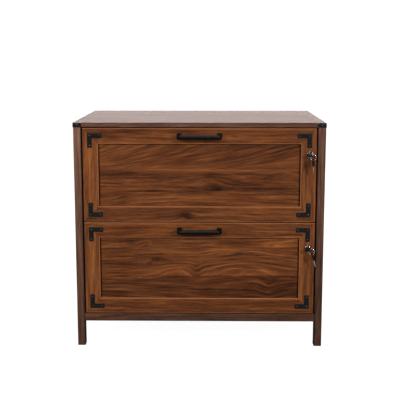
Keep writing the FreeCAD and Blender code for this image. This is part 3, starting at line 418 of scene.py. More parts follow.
FINISHES = {
    "upper_panel": walnut(
        "upper_panel_walnut", "X", WALNUT["front"], seed=0.2, tone=-0.02,
        bands=((0.4, 0, 0.05), (0.512, 0, -0.03), (0.578, 0, 0.03)),
        # Edge tone: painted shade that darkens the panel where it lies deeper than its face, inside
        # the groove round it
        edges=((1, 0, 0, 0.2006, 0.2003, -0.5),), fan=(0.578, 0.05, 3.2, 0.25),
        knots=((-0.262, 0.571, 0.07, 0.009, 0, 0.2), (-0.14, 0.592, 0.15, 0.012, 0, -0.1),
               (0.1, 0.583, 0.18, 0.005, 0, -0.18), (-0.242, 0.497, 0.022, 0.012, 0.008, 0.16),
               (-0.242, 0.475, 0.03, 0.006, 0, 0.08), (-0.15, 0.515, 0.04, 0.005, 0.004, 0.16),
               (0.042, 0.552, 0.06, 0.02, 0.016, 0.04), (0.03, 0.566, 0.03, 0.005, 0, 0.12),
               (0.044, 0.548, 0.012, 0.009, 0, -0.06), (0.06, 0.53, 0.014, 0.009, 0, 0.1),
               (0.045, 0.518, 0.05, 0.005, -0.008, 0.1), (0.266, 0.573, 0.03, 0.009, 0.01, 0.02),
               (0.13, 0.572, 0.09, 0.004, 0, 0.12), (0.21, 0.523, 0.11, 0.007, 0, 0.16),
               (0.22, 0.66, 0.1, 0.008, 0, 0.12), (-0.302, 0.606, 0.03, 0.01, 0, -0.08),
               (-0.06, 0.497, 0.1, 0.008, 0, -0.08))),
    "lower_panel": walnut(
        "lower_panel_walnut", "X", WALNUT["front"], seed=1.7, tone=-0.03,
        bands=((0.1, 0, -0.08), (0.236, 0.02, 0.05)),
        # Edge tone: painted shade that darkens the panel where it lies deeper than its face, inside
        # the groove round it
        edges=((1, 0, 0, 0.2006, 0.2003, -0.5),),
        knots=((-0.22, 0.347, 0.016, 0.006, 0.004, 0.2), (-0.256, 0.346, 0.008, 0.004, 0, 0.12),
               (-0.172, 0.345, 0.02, 0.012, 0.008, 0), (-0.16, 0.345, 0.006, 0.01, 0, -0.1),
               (-0.108, 0.346, 0.02, 0.01, 0.006, 0), (-0.192, 0.314, 0.03, 0.003, 0, -0.14),
               (-0.28, 0.292, 0.05, 0.004, -0.006, -0.14), (-0.2, 0.272, 0.09, 0.006, -0.012, 0.16),
               (-0.144, 0.294, 0.03, 0.007, 0.012, 0.2), (-0.25, 0.3, 0.05, 0.003, 0, 0.12),
               (-0.08, 0.256, 0.07, 0.02, 0.018, -0.06), (-0.01, 0.258, 0.018, 0.024, -0.015, 0.14),
               (0.125, 0.346, 0.055, 0.016, 0, 0.15), (0.143, 0.268, 0.14, 0.035, 0.024, -0.03),
               (0.234, 0.338, 0.01, 0.004, 0, 0.16), (0.26, 0.345, 0.06, 0.02, 0, -0.1),
               (0.14, 0.318, 0.1, 0.01, 0.014, -0.04), (0.24, 0.294, 0.07, 0.004, 0, 0.12),
               (0.224, 0.19, 0.035, 0.034, -0.018, 0.04), (0.224, 0.182, 0.01, 0.006, 0, -0.12),
               (0.24, 0.19, 0.1, 0.03, 0, 0.12), (-0.2, 0.2, 0.16, 0.05, 0, -0.07),
               (-0.29, 0.345, 0.04, 0.014, 0, -0.08), (0.03, 0.34, 0.035, 0.018, 0.004, -0.1))),
    # Painted highlight on the fronts' rounded arrises; its edge tone darkens them at the fronts'
    # outer sides, painted shade beside the gaps
    "arris": walnut("arris_painted_highlight_walnut", "X", WALNUT["arris"], seed=1.1, contrast=0.6, gloss=0.1,
                    edges=((0, 0, 0, 0.3695, 0.3705, -0.9),)),
    "rails": walnut(
        "rail_walnut", "X", WALNUT["front"], seed=3.3, contrast=0.9,
        # Edge tones: lighter towards the panel opening, and darker on the fronts' top and bottom
        # faces, painted shade in the gaps above and below them
        edges=((2, 0.263, 0.1525, 0.11, 0.101, 0.16), (2, 0.263, 0.1525, 0.1502, 0.1508, -0.3)),
        knots=((-0.046, 0.44, 0.024, 0.016, 0.012, 0.28), (-0.036, 0.432, 0.012, 0.008, -0.006, 0.1),
               (-0.278, 0.69, 0.034, 0.007, 0.008, 0.24),
               (-0.02, 0.15, 0.07, 0.012, 0.01, 0.06), (0.08, 0.7, 0.1, 0.01, 0.01, 0.05))),
    "stiles": walnut(
        "stile_walnut", "Z", WALNUT["front"], seed=2.1, tone=0.1, contrast=0.8,
        # Edge tones: lighter towards the panel opening, and darker on the fronts' side faces,
        # painted shade in the gaps beside them
        edges=((0, 0, 0, 0.332, 0.322, 0.08), (0, 0, 0, 0.3709, 0.3716, -0.2)),
        knots=((0.5, -0.347, 0.9, 0.008, 0, -0.14), (0.6, 0.337, 0.022, 0.006, 0.003, 0.2),
               (0.6, 0.35, 0.05, 0.03, 0, 0.08), (0.24, 0.362, 0.2, 0.01, 0, 0.1))),
    "posts": walnut(
        "post_walnut", "Z", WALNUT["case"], seed=4, tone=0.25, contrast=0.8, rings=0.2,
        # Edge tones: darker towards the floor, painted shade where less light reaches; darker along
        # the inner edge next to the drawers, painted shade in the gap; and darker towards the right
        # post
        edges=((2, 0, 0, 0.72, 0, -0.3), (0, 0, 0, 0.3776, 0.3766, -0.4),
               (0, -0.4, 0, 0, 0.8, -0.12))),
    "sides": walnut("side_walnut", "Z", WALNUT["case"], seed=5.2, contrast=0.9),
    "top": walnut("top_walnut", "X", WALNUT["case"], seed=6.1, tone=0.06, contrast=0.8,
                  rough=0.52, gloss=0.008, depth_of_grain=0.04),
    "case_rails": walnut("case_rail_walnut", "X", WALNUT["case"], seed=7.4, tone=-0.06,
                         contrast=0.8),
    "box_sides": walnut("box_side_walnut", "Y", WALNUT["box"], seed=8.8, contrast=0.7,
                        rough=0.5),
    "box_cross": walnut("box_cross_walnut", "X", WALNUT["box"], seed=9.3, contrast=0.7,
                        rough=0.5),
    "back": walnut("back_walnut", "Z", WALNUT["box"], seed=0.7, tone=-0.1, contrast=0.6,
                   rough=0.55),
    "black": black_steel("black_powder_coat"),
    "hammered": black_steel("black_hammered_coat", hammered=0.5),
    "screw_black": black_steel("black_screw_steel", hammered=0.1, rough=0.26, shine=0.4),
    "handle_black": black_steel("black_handle_coat", hammered=0.06, rough=0.16, shine=0.08,
                                pale=0.4),
    "zinc": steel("zinc_plate", (0.62, 0.63, 0.64), 0.32, FINE_ACROSS_Y, 0.35),
    "chrome": steel("polished_chrome", (0.3, 0.3, 0.31), 0.09, EVEN, 0.08),
    "dark_chrome": steel("smoked_chrome", (0.14, 0.14, 0.15), 0.1, EVEN, 0.08),
    "nickel": steel("nickelled_key_steel", (0.62, 0.6, 0.57), 0.24, FINE_ACROSS_X, 0.2),
    "plastic": black_plastic("moulded_black_plastic"),
    "beech": beech("raw_beech"),
}

NODE_FINISH = {
    "top_board": "top", "bottom_board": "box_cross", "front_bottom_rail": "case_rails",
    "left_side_panel": "sides", "right_side_panel": "sides", "back_panel": "back",
    "carcass_dowels": "beech", "top_board_fittings": "zinc", "corner_caps": "hammered",
    "corner_cap_nails": "hammered", "outer_slides": "zinc", "outer_slide_screws": "zinc",
    "frame_rails": "rails", "frame_stiles": "stiles", "corner_brackets": "hammered",
    "bracket_screws": "hammered", "handle": "black", "handle_screws": "zinc",
    "front_fittings": "zinc", "left_box_side": "box_sides", "right_box_side": "box_sides",
    "box_back": "box_cross", "box_bottom": "box_cross", "inner_slides": "zinc",
    "inner_slide_screws": "zinc", "file_frames": "black", "lock_housing": "chrome",
    "middle_slides": "zinc", "lock_plug": "chrome", "lock_cam": "zinc", "key": "plastic",
    "key_ring": "nickel", "spare_key": "plastic",
}

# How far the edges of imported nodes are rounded, and those of all boards that aren't listed
EASED = {
    "front_panel": 0.5, "outer_slides": 0.3, "inner_slides": 0.3, "middle_slides": 0.3,
    "file_frames": 0.6, "lock_plug": 0.3, "lock_cam": 0.4,
}
BOARD_EASE = 0.7
BOARD_ENDINGS = ("_post", "_board", "_panel", "_side", "_back", "_bottom", "_rail")
EASE_SEGMENTS = 2
EASED_ABOVE = 40
WELD = 0.01


def bare(name):
    """A node's name without its drawer."""
    for drawer in DRAWERS:
        if name.startswith(drawer + "_"):
            return name[len(drawer) + 1:]
    return name


def finish_of(name):
    if name.endswith("_post"):
        return "posts"
    if name.endswith("_front_panel"):
        return name.split("_")[0] + "_panel"
    return NODE_FINISH[bare(name)]


def dress(name, item):
    """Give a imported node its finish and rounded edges; its own mesh stays as it is."""
    item.data.materials.clear()
    item.data.materials.append(FINISHES[finish_of(name)])
    ease = EASED.get(bare(name), BOARD_EASE if name.endswith(BOARD_ENDINGS) else 0)
    if ease:
        weld = item.modifiers.new("weld", "WELD")
        weld.merge_threshold = WELD * MM
        bevel = item.modifiers.new("eased_edges", "BEVEL")
        bevel.width = ease * MM
        bevel.segments = EASE_SEGMENTS
        bevel.limit_method = "ANGLE"
        bevel.angle_limit = math.radians(EASED_ABOVE)
        bevel.harden_normals = True


for label, item in nodes.items():
    dress(label, item)


# Mesh helpers

def in_scene(name, data):
    """A mesh, a lamp or a camera as an object of the scene."""
    item = bpy.data.objects.new(name, data)
    bpy.context.scene.collection.objects.link(item)
    return item


def linked(mesh, body, replaced, slot, *finishes):
    """Put a finished mesh in the scene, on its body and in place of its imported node."""
    for finish in finishes:
        mesh.materials.append(FINISHES[finish])
    piece = in_scene(mesh.name, mesh)
    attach(piece, body)
    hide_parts(replaced)
    return piece


def to_mesh(bm, name, smooth_below=38):
    """The mesh of a bmesh, its normals outwards and only its sharp edges shaded hard."""
    bmesh.ops.recalc_face_normals(bm, faces=bm.faces)
    limit = math.radians(smooth_below)
    for face in bm.faces:
        face.smooth = True
    for edge in bm.edges:
        edge.smooth = len(edge.link_faces) == 2 and edge.calc_face_angle(0) < limit
    mesh = bpy.data.meshes.new(name)
    bm.to_mesh(mesh)
    bm.free()
    return mesh


def once(items):
    """A list of items in their own order, without repeats."""
    return list(dict.fromkeys(items))


def bevel(bm, faces, width, segments, above):
    """Round those edges of some faces that are sharper than an angle in degrees."""
    limit = math.radians(above)
    sharp = [edge for edge in once(edge for face in faces for edge in face.edges)
             if len(edge.link_faces) == 2 and edge.calc_face_angle(0) > limit]
    bmesh.ops.bevel(bm, geom=sharp, offset=width * MM, segments=segments, affect="EDGES",
                    profile=0.5, clamp_overlap=True)


def circle(centre, radius, count):
    """Points evenly round a circle in a plane."""
    turns = [math.radians(360 * number / count) for number in range(count)]
    return [(centre[0] + radius * math.cos(turn), centre[1] + radius * math.sin(turn))
            for turn in turns]


def rounded(corners, radii, steps=5):
    """An outline with each corner rounded by its own radius."""
    outline = []
    count = len(corners)
    for number, (corner, radius) in enumerate(zip(corners, radii)):
        here = Vector(corner)
        to_last = (Vector(corners[number - 1]) - here).normalized()
        to_next = (Vector(corners[(number + 1) % count]) - here).normalized()
        if radius == 0:
            outline.append(tuple(here))
            continue
        half = to_last.angle(to_next) / 2
        centre = here + (to_last + to_next).normalized() * radius / math.sin(half)
        first = here + to_last * radius / math.tan(half) - centre
        last = here + to_next * radius / math.tan(half) - centre
        for step in range(steps + 1):
            spoke = first.lerp(last, step / steps).normalized() * radius
            outline.append(tuple(centre + spoke))
    return outline


def slab(bm, loops, thickness, turn, finish=0):
    """A flat plate from its outline and its holes, from 0 to a thickness along local Z."""
    edges = []
    for loop in loops:
        corners = [bm.verts.new((a * MM, b * MM, 0)) for a, b in loop]
        for number, corner in enumerate(corners):
            edges.append(bm.edges.new((corners[number - 1], corner)))
    filled = bmesh.ops.triangle_fill(bm, edges=edges, use_beauty=True)["geom"]
    faces = [item for item in filled if isinstance(item, bmesh.types.BMFace)]
    raised = bmesh.ops.extrude_face_region(bm, geom=faces, use_keep_orig=True)["geom"]
    lifted = [item for item in raised if isinstance(item, bmesh.types.BMVert)]
    bmesh.ops.translate(bm, verts=lifted, vec=(0, 0, thickness * MM))
    whole = once([face for corner in lifted for face in corner.link_faces] + faces)
    for face in whole:
        face.material_index = finish
    corners = once(corner for face in whole for corner in face.verts)
    bmesh.ops.transform(bm, matrix=turn, verts=corners)
    return whole


def lathe(bm, profile, turn, segments, closed=False):
    """A turned solid from (radius, distance) pairs along local Z; radius 0 closes an end."""
    rings = []
    for radius, distance in profile:
        if radius == 0:
            rings.append([bm.verts.new((0, 0, distance * MM))])
            continue
        rings.append([bm.verts.new((x * MM, y * MM, distance * MM))
                      for x, y in circle((0, 0), radius, segments)])
    pairs = list(zip(rings, rings[1:]))
    if closed:
        pairs.append((rings[-1], rings[0]))
    for low_ring, high_ring in pairs:
        for number in range(segments):
            last = number - 1
            bm.faces.new(once([low_ring[last % len(low_ring)], low_ring[number % len(low_ring)],
                               high_ring[number % len(high_ring)],
                               high_ring[last % len(high_ring)]]))
    bmesh.ops.transform(bm, matrix=turn, verts=[corner for ring in rings for corner in ring])


def skin(bm, rings):
    """Faces over a row of rings of points, closed at both ends."""
    for first, second in zip(rings, rings[1:]):
        for number in range(len(first)):
            bm.faces.new((first[number - 1], first[number], second[number], second[number - 1]))
    bm.faces.new(rings[0])
    bm.faces.new(rings[-1])


def swept(bm, path, segments):
    """A level bar along (place, direction, half width, half height, squareness) stations.

    Squareness 1 gives a round bar, and a smaller one a bar with flatter sides.
    """
    rings = []
    up = Vector((0, 0, 1))
    for place, direction, wide, high, square in path:
        side = Vector(direction).normalized().cross(up)
        ring = []
        for a, b in circle((0, 0), 1, segments):
            across = math.copysign(abs(a) ** square, a) * wide
            above = math.copysign(abs(b) ** square, b) * high
            ring.append(bm.verts.new((Vector(place) + side * across + up * above) * MM))
        rings.append(ring)
    skin(bm, rings)


# Boards with rounded arrises

FRAME_ARRIS = 1.8
CASE_ARRIS = 1.0
ARRIS_SEGMENTS = 3
SHORTEST_ARRIS = 15
FRONT_MARGIN = 0.1
# An edge is straight if this share of its length runs along one axis
STRAIGHT_SHARE = 0.999
# Faces within so many degrees are one flat face, and an arris is sharper than this
FLAT_WITHIN = 0.5
ARRIS_ABOVE = 60


def round_board(node, body, width, slot, finish, arris, front_only):
    """A copy of a packed board with its long straight arrises rounded, shown in its place."""
    bm = bmesh.new()
    bm.from_mesh(nodes[node].data)
    bmesh.ops.remove_doubles(bm, verts=bm.verts, dist=WELD * MM)
    bmesh.ops.dissolve_limit(bm, angle_limit=math.radians(FLAT_WITHIN), verts=bm.verts,
                             edges=bm.edges)
    sharp = []
    for edge in bm.edges:
        run = edge.verts[1].co - edge.verts[0].co
        if run.length < SHORTEST_ARRIS * MM or len(edge.link_faces) != 2:
            continue
        straight = max(abs(part) for part in run) > STRAIGHT_SHARE * run.length
        deepest = max(corner.co.y for corner in edge.verts)
        hidden = front_only and deepest > (FRONT + FRONT_MARGIN) * MM
        if straight and not hidden and edge.calc_face_angle() > math.radians(ARRIS_ABOVE):
            sharp.append(edge)
    rounding = bmesh.ops.bevel(bm, geom=sharp, offset=width * MM, segments=ARRIS_SEGMENTS,
                               profile=0.5, affect="EDGES", clamp_overlap=False)
    # The rounded faces take the second finish: for the frames the lighter arris walnut, a painted
    # highlight
    for face in rounding["faces"]:
        face.material_index = 1
    piece = linked(to_mesh(bm, f"{node}_rounded"), body, node, slot, finish, arris)
    shading = piece.modifiers.new("even_shading", "WEIGHTED_NORMAL")
    shading.keep_sharp = True


def make_boards():
    for drawer in DRAWERS:
        for node, finish in (("frame_rails", "rails"), ("frame_stiles", "stiles")):
            round_board(f"{drawer}_{node}", f"{drawer}_drawer", FRAME_ARRIS, "front_walnut",
                        finish, "arris", True)
    for node in ("top_board", "front_left_post", "front_right_post", "rear_left_post",
                 "rear_right_post", "front_bottom_rail"):
        finish = finish_of(node)
        round_board(node, "root", CASE_ARRIS, "case_walnut", finish, finish, False)


# Handles, brackets and caps

PLATE = 1.2

POST_SPACING = 128
# Stations of a handle's post: distance from the front, half width, half height
POST = ((0, 7.7, 9.6), (0.35, 8, 10), (2.2, 8, 10), (2.9, 7.7, 9.6),
        (3.4, 7.4, 8.9), (4.2, 7.3, 8.6), (16, 7.4, 7.6))
POST_SQUARENESS = 0.4
FOOT_THICKNESS = 3
# How much higher the foot sits than the bar
FOOT_LIFT = 1
BAR_RADIUS = 7.5
BAR_BEND = 8
BAR_Y = -233.5
BEND_STEPS = 10
HANDLE_SEGMENTS = 32

BRACKET_INSET = 16
BRACKET_ARM = 46
BRACKET_WIDTH = 15
# Radii at a bracket's outer corner, its ends and its inner corner
BRACKET_ROUNDS = (2.0, 3.2, 3.2, 1.2, 3.2, 3.2)
BRACKET_BEVEL = 0.35
SCREW_INSET = 7.5
SCREW_HOLE = 1.6
HOLE_SEGMENTS = 12

CAP_LEG = 26
# Radii at a cap's bend, and outside at its two ends
CAP_ROUNDS = (1.1, 0.5, 0, 0, 0, 0.5)
CAP_BEVEL = 0.3

# Screws and nails: head, rise of its dome, shank and length
SCREW = (6, 2, 3, 8)
NAIL = (5, 1.5, 2, 8)
SCREW_SEGMENTS = 24
SCREW_TIP = 1
# Degrees up the dome at which its rings lie
DOME_TURNS = (8, 24, 40, 54)
# Share of the shank's radius at its tip
TIP_SHARE = 0.5
# Shares of a head's radius: half the cross's length and width, and the flat of a nail
CROSS_LENGTH_SHARE = 0.42
CROSS_WIDTH_SHARE = 0.13
NAIL_FLAT_SHARE = 0.3
# Shares of a head's rise: where its crown lies, and how deep the cross is
CROWN_SHARE = 0.93
CROSS_DEPTH_SHARE = 0.55
# Share of its size to which the cross narrows
CROSS_TAPER_SHARE = 0.7
SAME_HEIGHT = 1e-6


def towards(place, direction):
    """Move to a place in millimetres with local Z turned to a direction."""
    turn = Vector((0, 0, 1)).rotation_difference(Vector(direction)).to_matrix().to_4x4()
    return Matrix.Translation(Vector(place) * MM) @ turn


def face_turn(x, y, z, spin=0):
    """Local X to the right, local Y up and local Z towards the viewer, spun about the view."""
    basis = Matrix(((1, 0, 0), (0, 0, -1), (0, 1, 0))).to_4x4()
    about = Matrix.Rotation(math.radians(spin), 4, "Z")
    return Matrix.Translation(Vector((x, y, z)) * MM) @ basis @ about


def round_head(bm, place, direction, size, recess):
    """A screw or nail: a domed head with a cross or a small flat on it, and its shank."""
    head, rise, shank, length = size
    radius = head / 2
    core = shank / 2
    dome = [(radius * math.cos(math.radians(turn)), rise * math.sin(math.radians(turn)))
            for turn in DOME_TURNS]
    profile = [(0, -length), (core * TIP_SHARE, -length), (core, SCREW_TIP - length), (core, 0),
               (radius, 0)] + dome
    before = set(bm.verts)
    lathe(bm, profile, Matrix.Identity(4), SCREW_SEGMENTS)
    rim_height = dome[-1][1] * MM
    top_ring = [corner for corner in bm.verts if corner not in before
                and abs(corner.co.z - rim_height) < SAME_HEIGHT]
    top_ring.sort(key=lambda corner: math.atan2(corner.co.y, corner.co.x))
    if recess:
        wide = radius * CROSS_LENGTH_SHARE
        slim = radius * CROSS_WIDTH_SHARE
        crown = [(wide, slim), (slim, slim), (slim, wide), (-slim, wide), (-slim, slim),
                 (-wide, slim), (-wide, -slim), (-slim, -slim), (-slim, -wide), (slim, -wide),
                 (slim, -slim), (wide, -slim)]
    else:
        crown = circle((0, 0), radius * NAIL_FLAT_SHARE, HOLE_SEGMENTS)
    loop = [bm.verts.new((a * MM, b * MM, rise * CROWN_SHARE * MM)) for a, b in crown]
    edges = []
    for ring in (top_ring, loop):
        for number, corner in enumerate(ring):
            edge = bm.edges.get((ring[number - 1], corner))
            edges.append(edge or bm.edges.new((ring[number - 1], corner)))
    bmesh.ops.triangle_fill(bm, edges=edges, use_beauty=True)
    # This face stays in place over the cross, whose pit lies closed behind it
    lid = bm.faces.new(loop)
    if recess:
        pit = bmesh.ops.extrude_face_region(bm, geom=[lid])["geom"]
        sunk = [item for item in pit if isinstance(item, bmesh.types.BMVert)]
        bmesh.ops.translate(bm, verts=sunk, vec=(0, 0, -CROSS_DEPTH_SHARE * rise * MM))
        bmesh.ops.scale(bm, verts=sunk, vec=(CROSS_TAPER_SHARE, CROSS_TAPER_SHARE, 1))
    made = [corner for corner in bm.verts if corner not in before]
    bmesh.ops.transform(bm, matrix=towards(place, direction), verts=made)


def make_handle(drawer, z):
    """A round bar on two square posts that flare to feet on the front."""
    half = POST_SPACING / 2
    stations = []
    for distance, wide, high in POST:
        level = z - FOOT_LIFT if distance > FOOT_THICKNESS else z
        place = (-half, FRONT - distance, level)
        stations.append((place, (0, -1, 0), wide, high, POST_SQUARENESS))
    for number in range(BEND_STEPS + 1):
        share = number / BEND_STEPS
        turn = math.radians(90 * share)
        place = (BAR_BEND - half - BAR_BEND * math.cos(turn),
                 BAR_Y + BAR_BEND - BAR_BEND * math.sin(turn), z - FOOT_LIFT)
        squareness = POST_SQUARENESS + (1 - POST_SQUARENESS) * share
        stations.append((place, (math.sin(turn), -math.cos(turn), 0), BAR_RADIUS, BAR_RADIUS,
                         squareness))
    mirrored = []
    for (x, y, level), (dx, dy, dz), wide, high, squareness in reversed(stations):
        mirrored.append(((-x, y, level), (dx, -dy, dz), wide, high, squareness))
    bm = bmesh.new()
    swept(bm, stations + mirrored, HANDLE_SEGMENTS)
    linked(to_mesh(bm, f"{drawer}_bar_handle", smooth_below=50), f"{drawer}_drawer",
           f"{drawer}_handle", "black_steel", "handle_black")


def make_brackets(drawer, bottom):
    """Four angle brackets with rounded ends, three screws each."""
    plates = bmesh.new()
    screws = bmesh.new()
    edge = FRONT_HALF - BRACKET_INSET
    low = bottom + BRACKET_INSET
    high = bottom + FRONT_HEIGHT - BRACKET_INSET
    far = BRACKET_ARM - SCREW_INSET
    spots = ((SCREW_INSET, SCREW_INSET), (far, SCREW_INSET), (SCREW_INSET, far))
    corners = [(0, 0), (BRACKET_ARM, 0), (BRACKET_ARM, BRACKET_WIDTH),
               (BRACKET_WIDTH, BRACKET_WIDTH), (BRACKET_WIDTH, BRACKET_ARM), (0, BRACKET_ARM)]
    outline = rounded(corners, BRACKET_ROUNDS)
    holes = [circle(spot, SCREW_HOLE, HOLE_SEGMENTS) for spot in spots]
    for spin, sign, up, z in ((0, -1, 1, low), (90, 1, 1, low), (180, 1, -1, high),
                              (270, -1, -1, high)):
        turn = face_turn(sign * edge, FRONT, z, spin)
        made = slab(plates, [outline] + holes, PLATE, turn)
        bevel(plates, made, BRACKET_BEVEL, segments=2, above=60)
        for dx, dz in spots:
            place = (sign * (edge - dx), FRONT - PLATE, z + up * dz)
            round_head(screws, place, (0, -1, 0), SCREW, recess=True)
    body = f"{drawer}_drawer"
    linked(to_mesh(plates, f"{drawer}_angle_brackets"), body, f"{drawer}_corner_brackets",
           "black_steel", "hammered")
    linked(to_mesh(screws, f"{drawer}_cross_screws"), body, f"{drawer}_bracket_screws",
           "black_steel", "screw_black")


def make_caps():
    """Angle plates round the top board's front corners, each with two round nails."""
    plates = bmesh.new()
    nails = bmesh.new()
    under = CASE_HEIGHT - TOP_THICKNESS
    middle = under + TOP_THICKNESS / 2
    centre = CAP_LEG / 2
    corners = [(-PLATE, -PLATE), (CAP_LEG, -PLATE), (CAP_LEG, 0), (0, 0), (0, CAP_LEG),
               (-PLATE, CAP_LEG)]
    for sign in (-1, 1):
        outline = [(sign * (a - CASE_HALF), b + FRONT)
                   for a, b in rounded(corners, CAP_ROUNDS, steps=4)]
        turn = Matrix.Translation((0, 0, under * MM))
        made = slab(plates, [outline], TOP_THICKNESS, turn)
        bevel(plates, made, CAP_BEVEL, segments=2, above=60)
        front_nail = (sign * (CASE_HALF - centre), FRONT - PLATE, middle)
        side_nail = (sign * (CASE_HALF + PLATE), FRONT + centre, middle)
        round_head(nails, front_nail, (0, -1, 0), NAIL, recess=False)
        round_head(nails, side_nail, (sign, 0, 0), NAIL, recess=False)
    linked(to_mesh(plates, "top_corner_plates"), "root", "corner_caps", "black_steel",
           "hammered")
    linked(to_mesh(nails, "top_corner_nails"), "root", "corner_cap_nails", "black_steel",
           "screw_black")


# Locks, keys and rings

LOCK_SEGMENTS = 48
BORE = 5.72
# The bezel's face from its bore outwards: radius, height over the front
BEZEL = [(BORE, 1.7), (5.9, 2.1), (6.4, 2.4), (7.2, 2.5), (8.6, 2.5), (9.4, 2.3), (10.2, 1.6),
         (10.8, 0.8), (11, 0)]
THREAD_CREST = 9.0
THREAD_ROOT = 8.55
THREADS = 16
PITCH = 1.5
FIRST_CREST = 0.9
FIRST_ROOT = 1.65
BARREL_LENGTH = 26
# Radius at the barrel's end, and where its rounding starts
BARREL_END = (8.6, 25.4)
NUT_RADIUS = 12.7
NUT_BORE = 9.05
NUT_THICKNESS = 5

KEY_SEAT = 2.5
HEAD_THICKNESS = 5
HEAD_HALF, HEAD_FAR, HEAD_NEAR = 10, -25.5, -1.5
HEAD_ROUNDS = (6, 6, 5.5, 5.5)
SLOT_HALF, SLOT_FAR, SLOT_NEAR = 6.5, -22, -16
SLOT_ROUNDS = (2.6, 2.6, 2.6, 2.6)
BLADE_THICKNESS = 2
BLADE_HALF = 3.5
BLADE_ROOT = -1.6
BLADE_TIP = [(BLADE_HALF, 19.4), (0.8, 22), (-0.8, 22), (-BLADE_HALF, 19)]
# Notches of the blade: where they start, their spacing, where each is at its deepest, and how
# wide it leaves the blade, with more left at every other one
NOTCHES = 4
NOTCH_START = 3
NOTCH_SPACING = 3.5
NOTCH_FLAT = (1.5, 2.1)
NOTCH_LEFT = 2.1
NOTCH_MORE = 0.45

# The ring: its radius and its centre below the key's slot, the wire's half width and half
# height, and how far each turn lies to its side of the middle
RING_RADIUS = 9
RING_DROP = 5.048
WIRE_WIDE, WIRE_HIGH = 0.6, 0.29
WIRE_SEGMENTS = 12
RING_TURNS = 2
RING_STEPS = 72
RING_START = 0.6
TURN_SHIFT = 0.3
# Shares of a turn where the wire begins to cross over, and for how long
CROSSING_SHARE = 0.86
CROSSING_LENGTH_SHARE = 0.28
SPARE_KEY_DROP = 34.77


def make_lock_housing(drawer, z):
    """Chrome bezel on a threaded barrel, held behind by a hexagonal nut."""
    bm = bmesh.new()
    barrel = [(THREAD_CREST, 0)]
    for number in range(THREADS):
        barrel.append((THREAD_CREST, -FIRST_CREST - PITCH * number))
        barrel.append((THREAD_ROOT, -FIRST_ROOT - PITCH * number))
    end_radius, end_start = BARREL_END
    barrel += [(THREAD_CREST, -end_start), (end_radius, -BARREL_LENGTH), (BORE, -BARREL_LENGTH)]
    lathe(bm, BEZEL + barrel, face_turn(LOCK_X, FRONT, z), LOCK_SEGMENTS, closed=True)
    behind = FRONT + FRONT_THICKNESS + NUT_THICKNESS
    outlines = [circle((0, 0), NUT_RADIUS, count=6), circle((0, 0), NUT_BORE, count=24)]
    nut = slab(bm, outlines, NUT_THICKNESS, face_turn(LOCK_X, behind, z), finish=1)
    bevel(bm, nut, width=0.5, segments=2, above=50)
    linked(to_mesh(bm, f"{drawer}_lock_barrel"), f"{drawer}_drawer", f"{drawer}_lock_housing",
           "lock_chrome", "dark_chrome", "zinc")


def oblong(half, far, near, rounds, steps=5):
    """A rectangle with rounded corners, across the key's axis."""
    return rounded([(-half, far), (half, far), (half, near), (-half, near)], rounds, steps)


def key_mesh(name):
    """A moulded head and a notched steel blade, head along -Y from the origin."""
    bm = bmesh.new()
    head = [oblong(HEAD_HALF, HEAD_FAR, HEAD_NEAR, HEAD_ROUNDS, steps=7),
            oblong(SLOT_HALF, SLOT_FAR, SLOT_NEAR, SLOT_ROUNDS)]
    sunk = Matrix.Translation((0, 0, -HEAD_THICKNESS / 2 * MM))
    moulded = slab(bm, head, HEAD_THICKNESS, sunk)
    bevel(bm, moulded, width=1.0, segments=3, above=50)
    edge = [(-BLADE_HALF, BLADE_ROOT), (BLADE_HALF, BLADE_ROOT), (BLADE_HALF, NOTCH_START)]
    for number in range(NOTCHES):
        start = NOTCH_START + NOTCH_SPACING * number
        left = NOTCH_LEFT + NOTCH_MORE * (number % 2)
        edge += [(left, start + place) for place in NOTCH_FLAT]
        edge.append((BLADE_HALF, start + NOTCH_SPACING))
    sunk = Matrix.Translation((0, 0, -BLADE_THICKNESS / 2 * MM))
    blade = slab(bm, [edge + BLADE_TIP], BLADE_THICKNESS, sunk, finish=1)
    bevel(bm, blade, width=0.2, segments=1, above=50)
    return to_mesh(bm, name)


def make_key(drawer, z):
    mesh = key_mesh(f"{drawer}_cut_key")
    mesh.transform(Matrix.Translation(Vector((LOCK_X, FRONT - KEY_SEAT, z)) * MM))
    linked(mesh, f"{drawer}_inserted_key", f"{drawer}_key", "key_plastic", "plastic", "nickel")


def hang_turn(z, swing):
    """Frame of what hangs from the key's slot, swung about the bar beside the slot."""
    x = LOCK_X + (SLOT_HALF + HEAD_HALF) / 2
    y = FRONT - KEY_SEAT + (SLOT_FAR + SLOT_NEAR) / 2
    place = Matrix.Translation(Vector((x, y, z)) * MM)
    return place @ Matrix.Rotation(math.radians(swing), 4, "Y")


def make_spare_key(drawer, z, swing):
    """The second key, hanging head up from the ring and seen edge on."""
    upright = Matrix(((0, 0, -1), (1, 0, 0), (0, -1, 0))).to_4x4()
    drop = Matrix.Translation((0, 0, -SPARE_KEY_DROP * MM))
    mesh = key_mesh(f"{drawer}_hanging_key")
    mesh.transform(hang_turn(z, swing) @ drop @ upright)
    linked(mesh, f"{drawer}_hanging_key", f"{drawer}_spare_key", "key_plastic", "plastic",
           "nickel")


